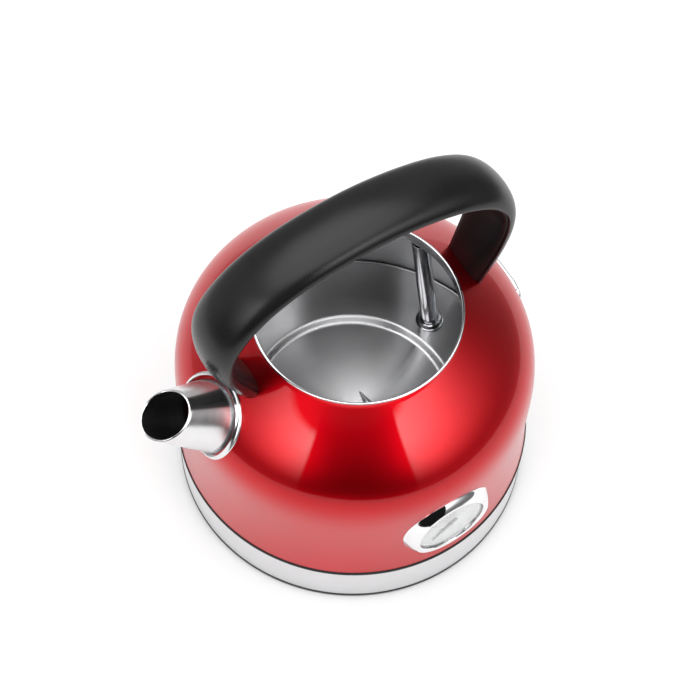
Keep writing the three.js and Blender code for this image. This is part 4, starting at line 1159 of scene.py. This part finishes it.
def handleSweep(name, section):
    # section(half) gives (across, outwards) pairs; each is set square to the arch at its place
    path = throughPoints(handleKnots(), handle["steps"])
    tangent = np.gradient(path, axis=0)
    tangent /= np.linalg.norm(tangent, axis=1, keepdims=True)
    share = np.linspace(0, 1, handle["steps"])
    ease = np.sin(np.pi / 2 * np.minimum(1, np.minimum(share, 1 - share) / handle["taper"]))
    foot = np.where(share < 0.5, handle["frontHalf"], handle["rearHalf"])
    half = foot + (handle["half"] - foot) * ease
    rows = np.stack([section(h) for h in half])
    across, out = rows[..., 0], rows[..., 1]
    x = path[:, :1] - tangent[:, 1:] * out
    z = path[:, 1:] + tangent[:, :1] * out
    return surface(name, np.stack([x, across, z], -1) * mm, wrapColumns=True)


def archSection(half, depth, base, count=40):
    # half a superellipse, from one edge over the top to the other
    turn = np.linspace(0, np.pi, count)
    power = 2 / handle["square"]
    across = np.sign(np.cos(turn)) * np.abs(np.cos(turn)) ** power * half
    return np.stack([across, base + np.sin(turn) ** power * depth], -1)


def shellSection(half):
    # outer arch, a rolled bead along each edge and the inner arch
    outer = archSection(half, handle["depth"], 0.0)
    inner = archSection(half - handle["wall"], handle["depth"] - handle["wall"], 0.0, 24)[::-1]
    inset, drop = np.array([0.1, 0.4, 0.75, 0.95]), np.array([-0.35, -0.55, -0.45, 0.0])
    bead = np.stack([inset - half, drop], -1)
    return np.concatenate([outer, bead, inner, bead[::-1] * [-1, 1]])


def coverSection(half):
    # a shallow crowned strip that lies inside the beads
    edge = half - handle["coverInset"]
    turn = np.linspace(0, np.pi, 30)
    drop = handle["coverBase"] + np.sin(turn) ** 0.75 * (handle["coverDepth"] - handle["coverBase"])
    crown = np.stack([-np.cos(turn) * (edge - 0.5), -drop], -1)
    lid = np.array([[edge, -0.3], [edge, 0.4], [-edge, 0.4], [-edge, -0.3]])
    return np.concatenate([lid, crown])


def handleMouldings():
    # both mouldings are cut to the dome where their feet meet it
    for name, section, paint, node in (
            ("handleShell", shellSection, "handle", "handle_shell"),
            ("handleCover", coverSection, "cover", "handle_cover")):
        piece = handleSweep(name, section)
        carve(piece, [domeBlock("cut", handle["clear"])])
        finishPiece(piece, "kettle", [paint], [node], 40.0)


# ---- switch

lever = {
    "pivot": (75.0, 13.5), "half": 8.0, "tip": 95.0, "rise": 4.0, "thick": 3.4, "hub": 3.4, "pin": 1.7,
    "roundShare": 0.12, "roundDepth": 0.18, "roundSide": 0.25,      # how the paddle thins towards its sides
    "tail": 10.0, "tailStart": 2.0, "tailHalf": 1.6, "tailThick": 0.9, "tailTip": 1.2,
    "ribs": 3, "ribFrom": 6.2, "ribWide": 0.6, "ribPitch": 1.5, "ribHalf": 6.2, "ribDepth": 0.62,
}


def switchLever():
    # a paddle whose side view is carried across its width and rounded towards both sides
    px, pz = lever["pivot"]
    half, tip, tipZ = lever["thick"] / 2, lever["tip"], pz + lever["rise"]
    side = filleted([
        (px, pz - half), (px + 9, pz - half, 2.0), (tip - 6, tipZ - half - 0.5, 2.0),
        (tip, tipZ - half - 0.4, 1.2), (tip, tipZ + half - 0.3, 1.4), (tip - 7, tipZ + half - 0.5, 2.5),
        (px + 9, pz + half, 2.0), (px, pz + half)], steps=6)
    middle = side.mean(0)
    span = np.concatenate([
        [-1.0], np.linspace(-0.985, -0.9, 5), np.linspace(-0.85, 0.85, 17), np.linspace(0.9, 0.985, 5),
        [1.0]])
    share, depth = lever["roundShare"], lever["roundDepth"]
    inward = np.maximum(0, np.abs(span) - (1 - share)) / share
    shrink = 1 - depth + depth * np.sqrt(np.maximum(0, 1 - inward ** 2))
    scale = np.stack([1 - (1 - shrink) * lever["roundSide"], shrink], -1)
    rows = middle + (side[None] - middle) * scale[:, None, :]
    across = np.repeat(span[:, None] * lever["half"], len(side), 1)
    grid = np.stack([rows[..., 0], across, rows[..., 1]], -1)
    paddle = surface("switchLever", grid * mm, wrapColumns=True)
    tailX, tailHalf, tailThick = px - lever["tail"], lever["tailHalf"], lever["tailThick"]
    hub = rodBetween("hub", (px, -lever["half"], pz), (px, lever["half"], pz), lever["hub"])
    tail = boxBetween(
        "tail", (tailX, -tailHalf, pz - tailThick), (px - lever["tailStart"], tailHalf, pz + tailThick))
    knob = rodBetween("knob", (tailX, -tailHalf, pz), (tailX, tailHalf, pz), lever["tailTip"], 24)
    carve(paddle, [hub, tail, knob], "UNION")
    bore = rodBetween("cut", (px, -20, pz), (px, 20, pz), lever["pin"])
    top = tipZ + half
    grooves = []
    for i in range(lever["ribs"]):
        start = tip - lever["ribFrom"] + lever["ribPitch"] * i
        grooves.append(boxBetween(
            "cut", (start, -lever["ribHalf"], top - lever["ribDepth"]),
            (start + lever["ribWide"], lever["ribHalf"], top + 2)))
    carve(paddle, [bore, *grooves])
    finishPiece(paddle, "lever", ["plastic"], ["switch_lever"], 35.0)


surround = {
    "outer": (12.6, 4.9, 22.6, 2.5),    # half width, lowest, highest and corner
    "open": (9.5, 8.0, 19.5, 1.0),
    "proud": 1.0, "bevel": 0.45, "bevelRise": 0.4, "seat": 0.04, "sleeve": 4.6, "sleeveWall": 1.0,
}


def resized(shape, grow, rounder):
    # a slot's outline with every side moved outwards and its corner made rounder
    half, low, high, corner = shape
    return half + grow, low - grow, high + grow, corner + rounder


def switchSurround():
    # a curved frame on the band with a sleeve through its slot: outlines at distances from the band's face
    outer, inner, bevel = surround["outer"], surround["open"], surround["bevel"]
    sleeve = resized(inner, surround["sleeveWall"], 0.4)
    face, shoulder = surround["proud"], surround["proud"] - surround["bevelRise"]
    seat, back = surround["seat"], -surround["sleeve"]
    outlines = [
        (outer, seat), (outer, shoulder), (resized(outer, -bevel, 0.0), face),
        (resized(inner, bevel, 0.2), face), (inner, shoulder), (inner, back), (sleeve, back),
        (sleeve, seat)]
    rows = []
    for shape, out in outlines:
        y, z = roundedRectangle(*shape, 96).T
        rows.append(np.stack([np.sqrt((base["radius"] + out) ** 2 - y ** 2), y, z], -1))
    ring = surface("switchSurround", np.stack(rows) * mm, wrapRows=True, wrapColumns=True)
    finishPiece(ring, "kettle", ["plastic"], ["switch_bezel"], 35.0)


# ---- CAD nodes that stay

kept = {
    "sheet": ["spout_strainer", "gauge_case"],
    "polished": ["gauge_nut"],
    "zinc": ["handle_mount_front", "handle_mount_rear", "lever_pin", "trip_pin",
             "handle_screw_front_left", "handle_screw_front_right",
             "handle_screw_rear_left", "handle_screw_rear_right"],
    "plastic": ["power_controller", "steam_switch_housing"],
    "rubber": ["gauge_seal"],
    "silicone": ["window_seal", "steam_tube_seal", "handle_washer_front", "handle_washer_rear"],
    "trip": ["trip_lever"],
    "aluminium": ["diffuser_plate", "heating_element"],
    "brass": ["contact_pin", "neutral_ring", "earth_ring", "pointer_shaft"],
    "copper": ["element_terminal_left", "element_terminal_right",
               "dry_boil_disc_left", "dry_boil_disc_right", "steam_disc", "bimetal_coil"],
    "pointer": ["gauge_pointer"],
}


def paintKept():
    for paint, nodes in kept.items():
        for node in nodes:
            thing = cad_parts[node]
            thing.data.materials.clear()
            thing.data.materials.append(materials[paint])


# ---- stage

stage = {
    "floorSize": 0.75, "floorTone": (0.86, 0.86, 0.86),
    "sky": 1.0,                         # what the camera itself sees
    "ambient": 0.18,                    # all round, low down
    "gap": (-59.0, 0.5, 44.0, 0.01),    # dark behind the camera: azimuth low, high, elevation high, strength
    "gapSoft": 3.0,
    "behind": (109.0, 120.0, 0.55),     # pale sweep: degrees from the front at its start and full, strength
    "overhead": (50.0, 60.0, 2.5),      # elevation from and full, strength
    # azimuth low and high, share of the strength at each, elevation low, full and high, strength
    "boxes": [
        (-124.0, -59.0, 0.15, 1.0, 4.0, 37.0, 40.5, 7.5),
        (0.5, 84.0, 1.0, 0.2, 3.0, 38.0, 43.0, 7.5),
    ],
    "boxSoft": 2.0, "sideSoft": 1.0,
}


def makeFloor():
    size = stage["floorSize"]
    grid = np.array([[[-size, -size, 0], [size, -size, 0]], [[-size, size, 0], [size, size, 0]]], float)
    ground = surface("stageFloor", grid)
    material, tree = newMaterial("paleFloor")
    speck = grain(tree, place(tree), 3.0, 2.0)
    tone = stage["floorTone"]
    colour = tree.blendColour(speck, [c * 0.99 for c in tone], tone)
    finishMaterial(tree, principled(tree, colour, 0.8, 0.0, Specular_IOR_Level=0.1))
    ground.data.materials.append(material)


def withinEdges(tree, value, low, high, soft):
    # one between the two edges and nothing outside, with a soft step at each
    rise = tree.spread(value, low - soft, low + soft)
    return rise * tree.spread(value, high - soft, high + soft, 1.0, 0.0)


def makeLights():
    # a dim room with large soft boxes round it, all set by direction; each box fades towards its lower edge
    world = bpy.data.worlds.new("studio")
    scene.world = world
    tree = Tree(world)
    x, y, z = axes(tree, tree.node("ShaderNodeTexCoord").part("Generated"))
    azimuth = x.math("ARCTAN2", x, -y) * (180 / math.pi)
    elevation = z.math("ARCSINE", z) * (180 / math.pi)
    start, full, pale = stage["behind"]
    fromFront = azimuth.math("ABSOLUTE", azimuth)
    light = tree.spread(fromFront, start, full, stage["ambient"], pale)
    west, east, high, dark = stage["gap"]
    side = withinEdges(tree, azimuth, west, east, stage["sideSoft"])
    gap = side * tree.spread(elevation, high, high + stage["gapSoft"], 1.0, 0.0)
    light = light * (1 - gap) + gap * dark
    for west, east, toWest, toEast, low, full, high, strength in stage["boxes"]:
        slant = tree.spread(azimuth, west, east, toWest, toEast)
        side = withinEdges(tree, azimuth, west, east, stage["sideSoft"]) * slant * slant
        rise = tree.spread(elevation, low, full)
        drop = tree.spread(elevation, high, high + stage["boxSoft"], 1.0, 0.0)
        light = light + side * rise * rise * drop * strength
    start, full, strength = stage["overhead"]
    light = light + tree.spread(elevation, start, full, 0.0, strength)
    direct = tree.node("ShaderNodeLightPath").part("Is Camera Ray")
    shown = light * (1 - direct) + direct * stage["sky"]
    sky = tree.node("ShaderNodeBackground", {}, Color=(1.0, 1.0, 1.0), Strength=shown)
    tree.node("ShaderNodeOutputWorld", {}, Surface=sky)


domeShell()
mouthCollar()
kettleFloor()
print("body made")
bodySeal()
baseBand()
baseCover()
rubberFeet()
baseScrews()
print("base made")
steamTube()
steamCollar()
spoutTube()
spoutFlange()
print("tube and spout made")
gaugeBezel()
gaugeFace()
gaugePane()
gaugeStem()
windowSet()
print("gauge and window made")
handleMouldings()
switchLever()
switchSurround()
print("handle and switch made")
paintKept()
makeFloor()
makeLights()
scene.view_settings.view_transform = "Standard"
scene.view_settings.look = "None"
print("stage made")
